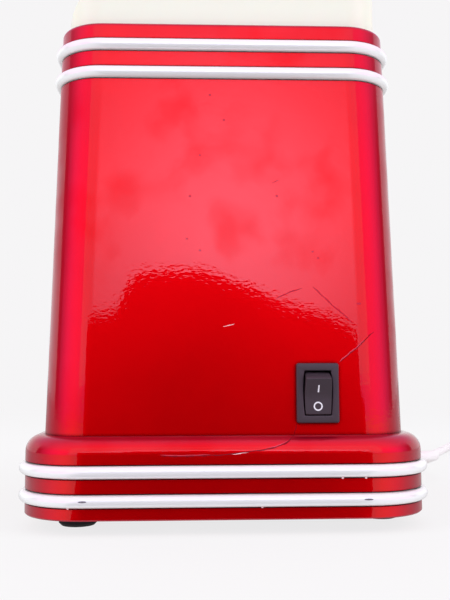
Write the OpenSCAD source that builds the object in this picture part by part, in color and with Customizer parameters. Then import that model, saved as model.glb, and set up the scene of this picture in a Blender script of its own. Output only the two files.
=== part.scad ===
// Hot-air popcorn maker: a drafted tower on a wider skirt, four bright bands,
// a lift-off hood with a chute and a measuring cup, and the fan heater inside.
// Millimetres. +Z is up, the chute faces -Y and the switch is on the +X side.

/* [Feet and skirt] */
// Diameter of a foot
foot_d = 14; // [10:1:18]
// Height of a foot under the skirt
foot_h = 5; // [3:0.5:8]
// Half distance between the feet along X
foot_x = 51.3; // [44:0.1:54]
// Distance of the front feet in front of the middle
foot_y = 53.4; // [44:0.1:54]
// Half distance between the rear feet along X
rear_foot_x = 42; // [40:0.1:54]
// Distance of the rear feet behind the middle
rear_foot_y = 59.5; // [50:0.1:60]
// Height of the skirt, up to the crease where the tower starts
skirt_h = 28; // [26:0.5:34]
// How far the skirt stands out past the tower
skirt_out = 6.8; // [5:0.1:9]
// Corner radius of the skirt
skirt_corner = 22.6; // [18:0.1:26]
// Radius of the skirt's rounded shoulder
shoulder_r = 6; // [4:0.5:6.5]

/* [Tower] */
// Width of the tower at the crease, along X
tower_w = 136; // [132:1:146]
// Depth of the tower at the crease, along Y
tower_d = 131.2; // [128:0.4:140]
// Height of the tower above the crease
tower_h = 150.7; // [146:0.1:165]
// Lean of each face, in degrees
draft = 1.55; // [1:0.05:2]
// Corner radius of the tower
tower_corner = 16.6; // [14:0.1:18]
// Wall of the housing
wall = 2.5; // [2:0.1:3]
// Rounding of the tower's top edge
rim_r = 1.5; // [0.5:0.1:2]

/* [Bands] */
// Height of a band, and the diameter of its round face
band_h = 4.3; // [3:0.1:5]
// Depth of the groove that a band lies in
band_seat = 1.2; // [0.8:0.1:1.4]
// Height of the upper tower band's middle below the rim
band_1_drop = 8.4; // [7:0.1:9]
// Distance between the two tower bands
tower_band_step = 10.5; // [8:0.1:12]
// Height of the lower skirt band's middle above the skirt's edge
band_4_rise = 6.6; // [5:0.1:7]
// Distance between the two skirt bands
skirt_band_step = 9.7; // [8:0.1:10]
// Gap in the skirt bands where the cord comes out
band_gap = 17; // [16:0.5:24]

/* [Hood and cup] */
// Height of the hood's outside above the deck that it stands on
hood_h = 107; // [100:1:120]
// Wall of the hood
hood_wall = 2.2; // [1.8:0.1:2.6]
// Corner radius of the hood, seen from above
hood_corner = 14; // [12:0.5:16]
// Height of the chute's lip above the deck
lip_h = 21.7; // [20:0.1:24]
// Rounding of the lip's front edge
lip_r = 15.4; // [14:0.1:17]
// How far the visor reaches past the hood's front wall
visor_reach = 29.3; // [24:0.1:34]
// Height of the visor's lower edge above the deck
visor_rise = 80.3; // [76:0.1:84]
// How far the mouth's side edges reach past the hood's front wall where they turn out to the visor
knee_reach = 11.3; // [8:0.1:14]
// Height of that turn above the deck
knee_rise = 68.3; // [64:0.1:72]
// Rounding of the hood's upper edges, seen from the front
crown_r = 34; // [28:1:36]
// Outer diameter of the measuring cup's bowl
cup_d = 68; // [60:1:70]
// Depth of the measuring cup under its rim
cup_depth = 38; // [30:1:44]
// Distance of the cup's middle in front of the tower's middle
cup_forward = 10; // [6:1:14]

/* [Popping chamber] */
// Inner diameter of the popping chamber
chamber_d = 84; // [78:1:88]
// Depth of the popping chamber under its flange
chamber_depth = 78; // [70:1:84]
// Wall of the popping chamber
chamber_wall = 1; // [0.8:0.1:1.5]
// Number of air louvres
louvres = 20; // [12:1:28]
// Outer diameter of the heater can
can_d = 100.6; // [98:0.2:102]

/* [Fan and motor] */
// Diameter of the motor
motor_d = 27.7; // [24:0.1:30]
// Length of the motor's body
motor_l = 33; // [28:1:36]
// Diameter of the motor shaft
shaft_d = 2.3; // [2:0.1:3.2]
// Outer diameter of the impeller
impeller_d = 92; // [80:1:94]
// Number of impeller blades
blades = 9; // [5:1:11]
// Pitch of the impeller blades, in degrees
blade_pitch = 35; // [25:1:45]

/* [Switch] */
// Width of the switch bezel along Y
bezel_w = 15; // [14.6:0.1:16]
// Height of the switch bezel
bezel_h = 21; // [20.6:0.1:22]
// Thickness of the switch bezel
bezel_t = 1.8; // [1.4:0.1:2.2]
// Distance of the switch behind the tower's middle
switch_y = 32.4; // [29:0.1:38]
// Height of the switch's middle above the skirt's edge
switch_z = 42.7; // [41:0.1:60]
// Angle that the rocker tips through
rocker_travel = 24; // [20:1:26]

/* [Cord] */
// Diameter of the cord
cord_d = 5; // [4.6:0.1:5.4]
// Height of the cord's exit above the skirt's edge
exit_rise = 8.5; // [8:0.1:9.5]
// Distance of the cord's exit to the far side of the tower's middle
exit_x = 40; // [36:1:42]
// Length of the strain relief outside the skirt
boot_l = 17; // [16:0.5:20]
// Diameter across the middle of the stored coil's turns
coil_d = 56; // [52:1:60]

/* [Hidden] */

$fn = 48;
eps = 0.01;
fit = 0.3;         // gap between parts that lift apart
seat = 0.1;        // gap behind a part that is pressed into a groove
slide_fit = 0.05;  // radial clearance of a turning pin

// Heights
crease_z = foot_h + skirt_h;
rim_z = crease_z + tower_h;
deck_t = 3;
deck_z = rim_z - 6;           // top of the deck
ledge_w = 4.5;
ledge_t = 3;
ledge_z = deck_z - deck_t;    // top of the ledge that holds the deck
plate_t = 2.5;
plate_top = foot_h + plate_t;

// Half sizes of the outline at a height
function lean(z) = tan(draft) * (z - crease_z);
function half_x(z) = tower_w / 2 - lean(z);
function half_y(z) = tower_d / 2 - lean(z);
skirt_x = tower_w / 2 + skirt_out;
skirt_y = tower_d / 2 + skirt_out;

// Hood, seen from the side: distances from the tower's middle
hood_x = half_x(rim_z) - wall - fit;
hood_y = half_y(rim_z) - wall - fit;
visor_y = hood_y + visor_reach;
hood_top = deck_z + hood_h;
crown_back_r = 30;
crown_front_r = 36;

// The origin lies under the middle of the whole body's box
rear_reach = skirt_y + band_h / 2;
axis_y = (visor_y - rear_reach) / 2;

// ---------- helpers ----------

// Puts a piece that is drawn about the tower's middle where the part stands
module stand() {
    translate([0, axis_y, 0]) children();
}

// Rectangle with round corners
module plan(hx, hy, r) {
    square([2 * hx, 2 * (hy - r)], center = true);
    square([2 * (hx - r), 2 * hy], center = true);
    for (sx = [-1, 1], sy = [-1, 1])
        translate([sx * (hx - r), sy * (hy - r)]) circle(r);
}

// Thin slice of such an outline, to be joined by hull
module slice(hx, hy, r, z) {
    translate([0, 0, z]) linear_extrude(eps) plan(hx, hy, r);
}

// Drafted tower between two heights, drawn in by a wall
module tower_solid(z0, z1, inset, top_r = 0) {
    r = tower_corner - inset;
    hull() {
        slice(half_x(z0) - inset, half_y(z0) - inset, r, z0);
        slice(half_x(z1 - top_r) - inset, half_y(z1 - top_r) - inset, r, z1 - top_r - eps);
        if (top_r > 0)
            for (a = [30, 60, 90])
                slice(half_x(z1) - inset - top_r * (1 - cos(a)), half_y(z1) - inset - top_r * (1 - cos(a)),
                    r, z1 - top_r + top_r * sin(a) - eps);
    }
}

// Skirt with its round shoulder, drawn in by a wall
module skirt_solid(z0, inset) {
    shoulder_z = crease_z - shoulder_r;
    r = skirt_corner - inset;
    hull() {
        slice(skirt_x - inset, skirt_y - inset, r, z0);
        for (a = [0 : 15 : 90])
            slice(skirt_x - inset - shoulder_r * (1 - cos(a)), skirt_y - inset - shoulder_r * (1 - cos(a)),
                r - shoulder_r * (1 - cos(a)), shoulder_z - inset + shoulder_r * sin(a));
    }
}

// Four copies at the corners of a rectangle
module corners(x, y) {
    for (sx = [-1, 1], sy = [-1, 1]) translate([sx * x, sy * y, 0]) children();
}

// ---------- bands ----------

tower_band_z = [rim_z - band_1_drop, rim_z - band_1_drop - tower_band_step];
skirt_band_z = [foot_h + band_4_rise + skirt_band_step, foot_h + band_4_rise];

// Section of a band: a half-round face outside, a flat tongue that fills its groove
module band_section() {
    tongue = band_seat - seat;
    intersection() {
        circle(d = band_h);
        translate([0, -band_h / 2]) square([band_h, band_h]);
    }
    translate([-tongue, -band_h / 2]) square([tongue + eps, band_h]);
}

// Band that follows a round-cornered outline
module band(hx, hy, r) {
    for (s = [0, 1]) rotate(180 * s) {
        translate([0, hy, 0]) rotate([90, 0, 90])
            linear_extrude(2 * (hx - r), center = true) band_section();
        translate([hx, 0, 0]) rotate([90, 0, 0])
            linear_extrude(2 * (hy - r), center = true) band_section();
        for (c = [0, 1])
            translate([(c ? -1 : 1) * (hx - r), hy - r, 0]) rotate(90 * c)
                rotate_extrude(angle = 90) translate([r, 0]) band_section();
    }
}

module band_groove(hx, hy, r, z) {
    translate([0, 0, z - band_h / 2]) linear_extrude(band_h) difference() {
        plan(hx + 5, hy + 5, r + 5);
        plan(hx - band_seat, hy - band_seat, r - band_seat);
    }
}

// Block that interrupts the skirt bands where the cord comes out
module cord_window() {
    translate([-exit_x - band_gap / 2, skirt_y - 8, foot_h]) cube([band_gap, 16, skirt_h]);
}

module tower_band_upper() {
    z = tower_band_z[0];
    color("gainsboro") stand() translate([0, 0, z]) band(half_x(z), half_y(z), tower_corner);
}

module tower_band_lower() {
    z = tower_band_z[1];
    color("gainsboro") stand() translate([0, 0, z]) band(half_x(z), half_y(z), tower_corner);
}

module skirt_band(z) {
    difference() {
        translate([0, 0, z]) band(skirt_x, skirt_y, skirt_corner);
        cord_window();
    }
}

module skirt_band_upper() {
    color("gainsboro") stand() skirt_band(skirt_band_z[0]);
}

module skirt_band_lower() {
    color("gainsboro") stand() skirt_band(skirt_band_z[1]);
}

// ---------- housing ----------

screw_x = tower_w / 2 - 6;     // base screws and their bosses
screw_y = 18;
boss_d = 8;
boss_top = 30;
pilot_d = 2.6;
deck_screw_x = half_x(ledge_z) - wall - 8;
deck_screw_y = half_y(ledge_z) - wall - 8;
boot_d = 9;
boot_hole_d = boot_d - 1;

module housing() {
    color("firebrick") stand() difference() {
        union() {
            difference() {
                union() {
                    skirt_solid(foot_h, 0);
                    tower_solid(crease_z - 2, rim_z, 0, rim_r);
                }
                skirt_solid(foot_h - 1, wall);
                tower_solid(crease_z - 6, rim_z + 1, wall);
            }
            ledge();
            base_bosses();
        }
        for (z = tower_band_z) band_groove(half_x(z), half_y(z), tower_corner, z);
        difference() {
            for (z = skirt_band_z) band_groove(skirt_x, skirt_y, skirt_corner, z);
            cord_window();
        }
        at_switch() cube([12, switch_case_w + 2 * seat, switch_case_h + 2 * seat], center = true);
        at_exit() translate([0, 0, -10]) cylinder(d = boot_hole_d, h = 20);
        corners(screw_x, screw_y) cylinder(d = pilot_d, h = boss_top - 3);
        corners(deck_screw_x, deck_screw_y) translate([0, 0, ledge_z - 12]) cylinder(d = pilot_d, h = 14);
    }
}

// Bosses for the base's screws, each tied to the skirt's wall by a rib
module base_bosses() {
    for (s = [0, 1]) rotate(180 * s) for (y = [-screw_y, screw_y]) translate([screw_x, y, plate_top]) {
        cylinder(d = boss_d, h = boss_top - plate_top);
        translate([0, -wall / 2, 0]) cube([skirt_x - wall / 2 - screw_x, wall, crease_z - shoulder_r - plate_top]);
    }
}

// Ledge inside the rim, with a boss under each corner for the deck's screws
module ledge() {
    hx = half_x(ledge_z) - wall / 2;
    hy = half_y(ledge_z) - wall / 2;
    difference() {
        translate([0, 0, ledge_z - ledge_t]) linear_extrude(ledge_t) plan(hx, hy, tower_corner - wall / 2);
        translate([0, 0, ledge_z - ledge_t - 1]) linear_extrude(ledge_t + 2)
            plan(hx - ledge_w, hy - ledge_w, tower_corner - ledge_w);
    }
    corners(deck_screw_x, deck_screw_y) translate([0, 0, ledge_z - 13]) cylinder(d = 9, h = 13);
}

// ---------- base ----------

vent_r = [14, 21, 28, 35, 42];   // inner radii of the intake's slots
vent_w = 3.6;

module base_plate() {
    color("dimgray") stand() {
        difference() {
            translate([0, 0, foot_h]) linear_extrude(plate_t)
                plan(skirt_x - wall - seat, skirt_y - wall - seat, skirt_corner - wall - seat);
            for (a = [0 : 45 : 315]) rotate(a) vent_sector();
            foot_places() translate([0, 0, foot_h - 1]) cylinder(d = foot_stem_d, h = 5);
            corners(screw_x, screw_y) {
                translate([0, 0, foot_h - 1]) cylinder(d = 3.4, h = 5);
                translate([0, 0, foot_h - 1]) cylinder(d = 6.6, h = 2.2);
            }
        }
        corners(post_xy, post_xy) translate([0, 0, plate_top - eps]) difference() {
            cylinder(d = 8, h = guide_z - plate_top + eps);
            translate([0, 0, guide_z - plate_top - 12]) cylinder(d = pilot_d, h = 13);
        }
    }
}

// One eighth of the air intake: curved slots between ribs
module vent_sector() {
    translate([0, 0, foot_h - 1]) for (r = vent_r) rotate_extrude(angle = 36)
        translate([r, 0]) square([vent_w, plate_t + 2]);
}

foot_stem_d = 5;

// The rear feet stand closer together
module foot_places() {
    for (s = [-1, 1]) {
        translate([s * foot_x, -foot_y, 0]) children();
        translate([s * rear_foot_x, rear_foot_y, 0]) children();
    }
}

module feet() {
    color("#222222") stand() foot_places() rotate_extrude() {
        polygon([[0, 0], [foot_d / 2 - 1, 0], [foot_d / 2, 1], [foot_d / 2, foot_h], [foot_stem_d / 2, foot_h],
            [foot_stem_d / 2, plate_top + 0.2], [foot_stem_d / 2 + 1, plate_top + 0.4],
            [foot_stem_d / 2 - 0.6, plate_top + 3], [0, plate_top + 3]]);
    }
}

head_d = 5.6;                  // screw heads
head_h = 1.6;
base_screw_l = 16;
deck_screw_l = 10;
guide_screw_l = 10;

// Pan-head screw, head down, from the underside of its head
module screw(head_d, shank_d, length) {
    translate([0, 0, -head_h]) cylinder(d = head_d, h = head_h);
    cylinder(d = shank_d, h = length);
}

module base_screws() {
    color("silver") stand() corners(screw_x, screw_y)
        translate([0, 0, foot_h + 1.2]) screw(head_d, pilot_d - 0.1, base_screw_l);
}

// ---------- deck ----------

chamber_r = chamber_d / 2 + chamber_wall;
flange_r = chamber_r + 6;

module top_deck() {
    color("#2b2b2b") stand() difference() {
        hx = half_x(ledge_z) - wall - fit;
        hy = half_y(ledge_z) - wall - fit;
        translate([0, 0, ledge_z]) linear_extrude(deck_t) plan(hx - 0.1, hy - 0.1, tower_corner - wall - fit);
        translate([0, 0, ledge_z - 1]) cylinder(r = chamber_r + fit, h = deck_t + 2, $fn = 96);
        translate([0, 0, deck_z - chamber_wall]) cylinder(r = flange_r + fit, h = 4, $fn = 96);
        corners(deck_screw_x, deck_screw_y) {
            translate([0, 0, ledge_z - 1]) cylinder(d = 3.4, h = deck_t + 2);
            translate([0, 0, deck_z - 1.8]) cylinder(d = 6.6, h = 4);
        }
    }
}

module deck_screws() {
    color("silver") stand() corners(deck_screw_x, deck_screw_y)
        translate([0, 0, deck_z - 1.8]) rotate([180, 0, 0]) screw(head_d, pilot_d - 0.1, deck_screw_l);
}

// ---------- hood ----------

// Side view of the hood, as [distance behind the middle, height], drawn in by t
function arc(cx, cy, r, a0, a1, n = 10) =
    [for (i = [0 : n]) let (a = a0 + (a1 - a0) * i / n) [cx + r * cos(a), cy + r * sin(a)]];

function hood_side(t, z0) = let (
        back = hood_y - t,
        top = hood_top - t,
        tip_a = 180 - asin((deck_z + visor_rise - hood_top) / crown_front_r + 1),
        brow_y = -visor_y - crown_front_r * cos(tip_a),
        fr = crown_front_r - t
    ) concat(
        [[back, z0]],
        arc(back - crown_back_r + t, top - crown_back_r + t, crown_back_r - t, 0, 90),
        arc(brow_y, top - fr, fr, 90, tip_a, 14)
    );

// The lip: the front wall, bent back over a large round
lip_turn = 80;                 // how far round it goes
lip_z = deck_z + lip_h - lip_r;
lip_y = -hood_y + lip_r;       // the round's middle
lip_top = lip_z + lip_r * sin(lip_turn);
bead_r = 1.9;                  // bead along the lip's edge

// The mouth's edge: from the visor's tip in to the turn, then down to the lip and round it to the deck
module hood_outline(t) {
    floor_z = deck_z - (t > 0 ? 1 : 0);
    edge = t > 0
        ? [[-visor_y - 4, deck_z + visor_rise - t], [-visor_y - 4, lip_top + 1],
            [lip_y + lip_r * cos(180 - lip_turn), lip_top + 1]]
        : [[-hood_y - knee_reach, deck_z + knee_rise]];
    intersection() {
        // side view
        rotate([90, 0, 90]) linear_extrude(2 * hood_x + 2, center = true)
            polygon(concat(hood_side(t, floor_z), edge, arc(lip_y, lip_z, lip_r - t, 180 - lip_turn, 180),
                [[t - hood_y, floor_z]]));
        // front view, with round upper edges
        rotate([90, 0, 0]) linear_extrude(2 * visor_y + 20, center = true) {
            square_to(hood_x - t, deck_z - 2, hood_top - crown_r);
            for (s = [-1, 1]) translate([s * (hood_x - crown_r), hood_top - crown_r]) circle(r = crown_r - t, $fn = 96);
            square_to(hood_x - crown_r, deck_z, hood_top - t);
        }
        // seen from above: round corners, and the visor in front of them higher up
        translate([0, 0, deck_z - 2]) {
            linear_extrude(lip_top - deck_z + 2) plan(hood_x - t, hood_y - t, hood_corner - t);
            translate([0, -visor_reach / 2, lip_top - deck_z + 2]) linear_extrude(hood_h)
                plan(hood_x - t, hood_y + visor_reach / 2 - t * 0.7, hood_corner - t);
        }
    }
}

module square_to(hx, z0, z1) {
    translate([-hx, z0]) square([2 * hx, z1 - z0]);
}

// Round bead along the lip's edge, from cheek to cheek
module lip_bead() {
    r = lip_r - hood_wall / 2;
    translate([0, lip_y + r * cos(180 - lip_turn), lip_z + r * sin(lip_turn)]) rotate([0, 90, 0])
        cylinder(r = bead_r, h = 2 * hood_x - hood_wall, center = true);
}

cup_hole_d = cup_d + 2 * fit + 0.4;

module hood() {
    color("#f5f1e0") stand() {
        difference() {
            union() {
                difference() {
                    hood_outline(0);
                    hood_outline(hood_wall);
                }
                lip_bead();
                translate([0, -cup_forward, hood_top - 6]) cylinder(d = cup_hole_d + 6, h = 5);
            }
            translate([0, -cup_forward, hood_top - 10]) cylinder(d = cup_hole_d, h = 20, $fn = 96);
        }
    }
}

// ---------- measuring cup ----------

module measuring_cup() {
    t = 1.8;
    r = cup_d / 2;
    floor_z = hood_top - cup_depth;
    color("#f2eedd") stand() translate([0, -cup_forward, 0]) {
        rotate_extrude($fn = 96) polygon([
            [0, floor_z], [r - 6, floor_z], [r - 2, floor_z + 3], [r - 0.6, hood_top], [r + 5, hood_top],
            [r + 6, hood_top + 1], [r + 6, hood_top + 2.2], [r - 1, hood_top + 2.2], [r - t - 0.8, hood_top + 1],
            [r - t - 2, floor_z + 4], [r - 8, floor_z + t], [0, floor_z + t]]);
        translate([0, r + 4, hood_top]) linear_extrude(2.2) cup_tab();
    }
}

// Finger tab of the cup, pointing to the back
module cup_tab() {
    translate([-9, 0]) square([18, 10]);
    translate([0, 10]) circle(9);
}

// ---------- popping chamber ----------

module popping_chamber() {
    t = chamber_wall;
    r = chamber_d / 2;
    floor_z = deck_z - chamber_depth;
    color("silver") stand() difference() {
        rotate_extrude($fn = 96) polygon(concat(
            [[flange_r, deck_z - t], [flange_r, deck_z], [r + 1, deck_z], [r, deck_z - 1]],
            [[r, floor_z + 12]], arc(r - 6, floor_z + 12, 6, 0, -60, 5),
            [[20, floor_z + t], [0, floor_z + t + 5]],
            [[0, floor_z + 5], [20, floor_z]],
            arc(r - 6, floor_z + 12, 6 + t, -60, 0, 5),
            [[r + t, deck_z - t]]));
        for (i = [0 : louvres - 1]) rotate(i * 360 / louvres) louvre(r, floor_z);
    }
}

// Slanted slot through the chamber's lower wall
module louvre(r, floor_z) {
    translate([r - 1, 0, floor_z + 20]) rotate([35, 0, 0]) cube([8, 1.6, 12], center = true);
}

// ---------- heater ----------

can_r = can_d / 2;
can_t = 0.8;
guide_z = 50;                  // underside of the air guide
guide_t = 2.5;
guide_top = guide_z + guide_t;
can_top = ledge_z - 1;

module heater_can() {
    color("lightsteelblue") stand() translate([0, 0, guide_top]) difference() {
        cylinder(r = can_r, h = can_top - guide_top, $fn = 96);
        translate([0, 0, -1]) cylinder(r = can_r - can_t, h = can_top, $fn = 96);
    }
}

mica_t = 0.8;
mica_rise = 20;                // clears the fan
heater_gap = 5.2;              // under the chamber
mica_bottom = guide_top + mica_rise;
mica_h = deck_z - chamber_depth - heater_gap - mica_bottom;
coil_levels = [mica_bottom + 5, mica_bottom + mica_h / 2 + 1, mica_bottom + mica_h - 3];
coil_radii = [30, 34, 38];
wire_d = 3.2;

// Two boards halved into each other, with notches that hold the coil
module mica_boards() {
    color("wheat") stand() difference() {
        union() for (a = [0, 90]) rotate(a) translate([0, 0, mica_bottom + mica_h / 2])
            cube([2 * (can_r - can_t - 0.3), mica_t, mica_h], center = true);
        for (i = [0 : 2]) translate([0, 0, coil_levels[i]])
            rotate_extrude($fn = 96) translate([coil_radii[i], 0]) circle(d = wire_d + 0.4, $fn = 24);
    }
}

module heater_coil() {
    color("#6d6a66") stand() for (i = [0 : 2]) translate([0, 0, coil_levels[i]])
        rotate_extrude($fn = 96) translate([coil_radii[i], 0]) circle(d = wire_d, $fn = 24);
}

// Bimetal thermostat on the outside of the can, with two blade terminals
module thermostat() {
    color("#d9c9a0") stand() rotate(135) translate([can_r, 0, 120]) rotate([0, 90, 0]) {
        translate([0, 0, 0.2]) cylinder(d = 16, h = 6);
        translate([0, 0, 6.2]) cylinder(d = 11, h = 3);
        for (s = [-1, 1]) translate([0, s * 4, 10]) cube([6.3, 0.8, 6], center = true);
    }
}

module thermal_fuse() {
    color("gold") stand() rotate(45) translate([can_r + 2.2, 0, 112]) {
        cylinder(d = 4, h = 12);
        translate([0, 0, -8]) cylinder(d = 1, h = 28);
    }
}

// ---------- fan ----------

post_xy = 33;
guide_rim_t = 3;               // rim round the heater can's foot
guide_rim_h = 8;
guide_slot_r = 18;             // air slots: inner radius and width
guide_slot_w = 18;
motor_screw_x = 8;
switch_clear = 1;              // between the air guide and the switch's terminals

module air_guide() {
    color("#303030") stand() difference() {
        union() {
            translate([0, 0, guide_z]) cylinder(r = can_r + guide_rim_t, h = guide_t, $fn = 96);
            translate([0, 0, guide_top]) difference() {
                cylinder(r = can_r + guide_rim_t, h = guide_rim_h, $fn = 96);
                translate([0, 0, -1]) cylinder(r = can_r + seat, h = guide_rim_h + 2, $fn = 96);
            }
        }
        translate([0, 0, guide_z - 1]) cylinder(r = 5.2, h = guide_t + 2);
        for (a = [0 : 60 : 300]) rotate(a + 12) translate([0, 0, guide_z - 1])
            rotate_extrude(angle = 36) translate([guide_slot_r, 0]) square([guide_slot_w, guide_t + 2]);
        for (s = [-1, 1]) translate([s * motor_screw_x, 0, guide_z - 1]) cylinder(d = 2.8, h = guide_t + 2);
        corners(post_xy, post_xy) translate([0, 0, guide_z - 1]) cylinder(d = 3.2, h = guide_t + 2);
        // relief behind the switch
        at_switch() translate([-switch_case_l - 8 - switch_clear, -switch_case_w / 2, -switch_case_h / 2])
            cube([switch_case_l + 8, switch_case_w, switch_case_h]);
    }
}

module guide_screws() {
    color("silver") stand() corners(post_xy, post_xy)
        translate([0, 0, guide_top]) rotate([180, 0, 0]) screw(head_d - 0.2, pilot_d - 0.1, guide_screw_l);
}

motor_top = guide_z;
motor_bottom = motor_top - motor_l;
fan_z = guide_top + 4;         // underside of the impeller
fan_h = 11;
hub_r = 8;
nut_h = 2.4;

module motor() {
    color("slategray") stand() difference() {
        union() {
            translate([0, 0, motor_bottom]) cylinder(d = motor_d, h = motor_l);
            translate([0, 0, motor_top - eps]) cylinder(d = 10, h = 2 + eps);
        }
        translate([0, 0, motor_top - 8]) cylinder(d = shaft_d + 2 * slide_fit, h = 20);
        for (s = [-1, 1]) translate([s * motor_screw_x, 0, motor_top - 5]) cylinder(d = 2.3, h = 8);
    }
}

module motor_end_cap() {
    color("ivory") stand() {
        translate([0, 0, motor_bottom - 3]) cylinder(d = motor_d - 1.5, h = 3);
        for (s = [-1, 1]) translate([s * 9, 0, motor_bottom - 5]) cube([2.4, 0.6, 4], center = true);
    }
}

module motor_screws() {
    color("silver") stand() for (s = [-1, 1])
        translate([s * motor_screw_x, 0, guide_top]) rotate([180, 0, 0]) screw(4, 2.2, 6);
}

// Board with four diodes, held by the motor's two tags
module rectifier_board() {
    z = motor_bottom - 7;
    color("seagreen") stand() {
        difference() {
            translate([0, 0, z - 0.8]) cube([26, 18, 1.6], center = true);
            for (s = [-1, 1]) translate([s * 9, 0, z]) cube([2.6, 0.8, 4], center = true);
        }
        for (y = [-6, -2.5, 2.5, 6]) translate([-3.5, y, z + 1.2]) rotate([0, 90, 0]) cylinder(d = 2.6, h = 7);
    }
}

module motor_shaft() {
    color("silver") stand() translate([0, 0, motor_top - 7])
        cylinder(d = shaft_d, h = fan_z + fan_h + nut_h + 1 - motor_top + 7);
}

// Axial impeller: pitched blades between a hub and the tips' circle
module impeller() {
    color("#3a3a3a") stand() translate([0, 0, fan_z]) difference() {
        union() {
            cylinder(r = hub_r, h = fan_h);
            intersection() {
                for (i = [0 : blades - 1]) rotate(i * 360 / blades) translate([impeller_d / 4, 0, fan_h / 2])
                    rotate([blade_pitch, 0, 0]) cube([impeller_d / 2, 1.4, 2 * fan_h], center = true);
                translate([0, 0, 0.5]) difference() {
                    cylinder(d = impeller_d, h = fan_h - 1, $fn = 96);
                    translate([0, 0, -1]) cylinder(r = hub_r - 1, h = fan_h + 2);
                }
            }
        }
        translate([0, 0, -1]) cylinder(d = shaft_d + 2 * slide_fit, h = fan_h + 2);
    }
}

module impeller_nut() {
    color("goldenrod") stand() translate([0, 0, fan_z + fan_h]) difference() {
        cylinder(r = 3.2, h = nut_h, $fn = 6);
        translate([0, 0, -1]) cylinder(d = shaft_d + 2 * slide_fit, h = nut_h + 2);
    }
}

// ---------- switch ----------

switch_case_w = 12.8;
switch_case_h = 18.8;
switch_case_l = 13;
rocker_w = 9.9;
rocker_room_h = 17.8;
pivot_in = 4;                  // pivot behind the bezel's face
pivot_u = bezel_t - pivot_in;
rocker_r = 8.6;                // the rocker's round ends, about the pivot
rocker_gap = 0.2;
pin_r = 1;
rest_tip = rocker_travel / 2;

// Frame on the tower's +X face: X points out of the face, Z up along it
module at_switch() {
    z = foot_h + switch_z;
    translate([half_x(z), switch_y, z]) rotate([0, -draft, 0]) children();
}

module switch_frame() {
    color("#202022") stand() at_switch() difference() {
        union() {
            translate([0, -bezel_w / 2, -bezel_h / 2]) cube([bezel_t, bezel_w, bezel_h]);
            translate([-switch_case_l, -switch_case_w / 2, -switch_case_h / 2])
                cube([switch_case_l + eps, switch_case_w, switch_case_h]);
            // barbs behind the wall
            for (s = [-1, 1]) rotate([s > 0 ? 0 : 180, 0, 0]) translate([0, 3, 0]) rotate([90, 0, 0])
                linear_extrude(6) polygon([[-wall - 0.2, switch_case_h / 2 + 0.9], [-wall - 0.2, switch_case_h / 2],
                    [-wall - 5, switch_case_h / 2]]);
        }
        translate([-10, -rocker_w / 2 - rocker_gap, -rocker_room_h / 2])
            cube([10 + pivot_u, rocker_w + 2 * rocker_gap, rocker_room_h]);
        intersection() {
            translate([pivot_u, 0, 0]) rotate([90, 0, 0])
                cylinder(r = rocker_r + rocker_gap, h = rocker_w + 1, center = true, $fn = 96);
            bowed(rocker_w / 2 + rocker_gap);
        }
        translate([pivot_u, 0, 0]) rotate([90, 0, 0]) cylinder(r = pin_r + slide_fit, h = rocker_w + 2, center = true);
    }
}

// Outline of the rocker and its opening, seen from the front: long sides that bow outwards
bow_r = 66;
module bowed(half_w) {
    rotate([90, 0, 90]) linear_extrude(30, center = true) intersection_for(s = [-1, 1])
        translate([s * (bow_r - half_w), 0]) circle(r = bow_r, $fn = 360);
}

// Key with two faces in a shallow valley and round ends about its pivot
module switch_rocker() {
    end = asin((pivot_in + 0.2) / rocker_r) + rest_tip;   // direction of an end's upper edge at rest
    color("#262628") stand() at_switch() translate([pivot_u, 0, 0]) rotate([0, rest_tip, 0]) {
        intersection() {
            bowed(rocker_w / 2);
            rotate([90, 0, 0]) cylinder(r = rocker_r, h = rocker_w, center = true, $fn = 96);
            rotate([90, 0, 0]) linear_extrude(rocker_w, center = true) polygon([
                [pivot_in + 0.5, 0],
                [rocker_r * sin(end), rocker_r * cos(end)], [1.2, rocker_r + 1], [-1.4, 2], [-1.4, -2],
                [1.2, -rocker_r - 1], [rocker_r * sin(end), -rocker_r * cos(end)]]);
        }
        rotate([90, 0, 0]) cylinder(r = pin_r, h = rocker_w + 1.6, center = true);
    }
}

module switch_terminals() {
    color("darkgoldenrod") stand() at_switch() for (s = [-1, 1])
        translate([-switch_case_l - 4, 0, s * 5]) cube([8, 4.8, 0.8], center = true);
}

// ---------- cord entry ----------

// Frame at the cord's exit: Z points out of the skirt's back
module at_exit() {
    translate([-exit_x, skirt_y, foot_h + exit_rise]) rotate([-90, 0, 0]) children();
}

// Tapered boot with a flange outside the wall and one inside
module strain_relief() {
    color("whitesmoke") stand() at_exit() difference() {
        rotate_extrude() polygon([
            [0, -wall - 4], [5.6, -wall - 4], [5.6, -wall], [boot_hole_d / 2 - seat, -wall],
            [boot_hole_d / 2 - seat, 0], [5.6, 0], [5.6, 1.6], [boot_d / 2, 2.4],
            [cord_d / 2 + 0.9, boot_l], [0, boot_l]]);
        translate([0, 0, -wall - 5]) cylinder(d = cord_d, h = 4);
    }
}

lead_y = skirt_y - wall - 5;   // where the cord's inner end leaves the boot
clamp_y = lead_y - 13.5;       // in front of the rear foot's stem
block_y = clamp_y - 8.5;
lead_z = foot_h + exit_rise;
clamp_w = 14;
clamp_screw_x = 4.9;

// Bar that holds the cord down on two pillars
module cord_clamp() {
    color("#2b2b2b") stand() translate([-exit_x, clamp_y, 0]) {
        difference() {
            translate([-clamp_w / 2, -3, plate_top]) cube([clamp_w, 6, lead_z - plate_top + cord_d / 2 + 2]);
            translate([0, 4, lead_z]) rotate([90, 0, 0]) cylinder(d = cord_d, h = 8);
            for (s = [-1, 1]) translate([s * clamp_screw_x, 0, plate_top + 2]) cylinder(d = 2.3, h = 20);
        }
    }
}

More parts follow.
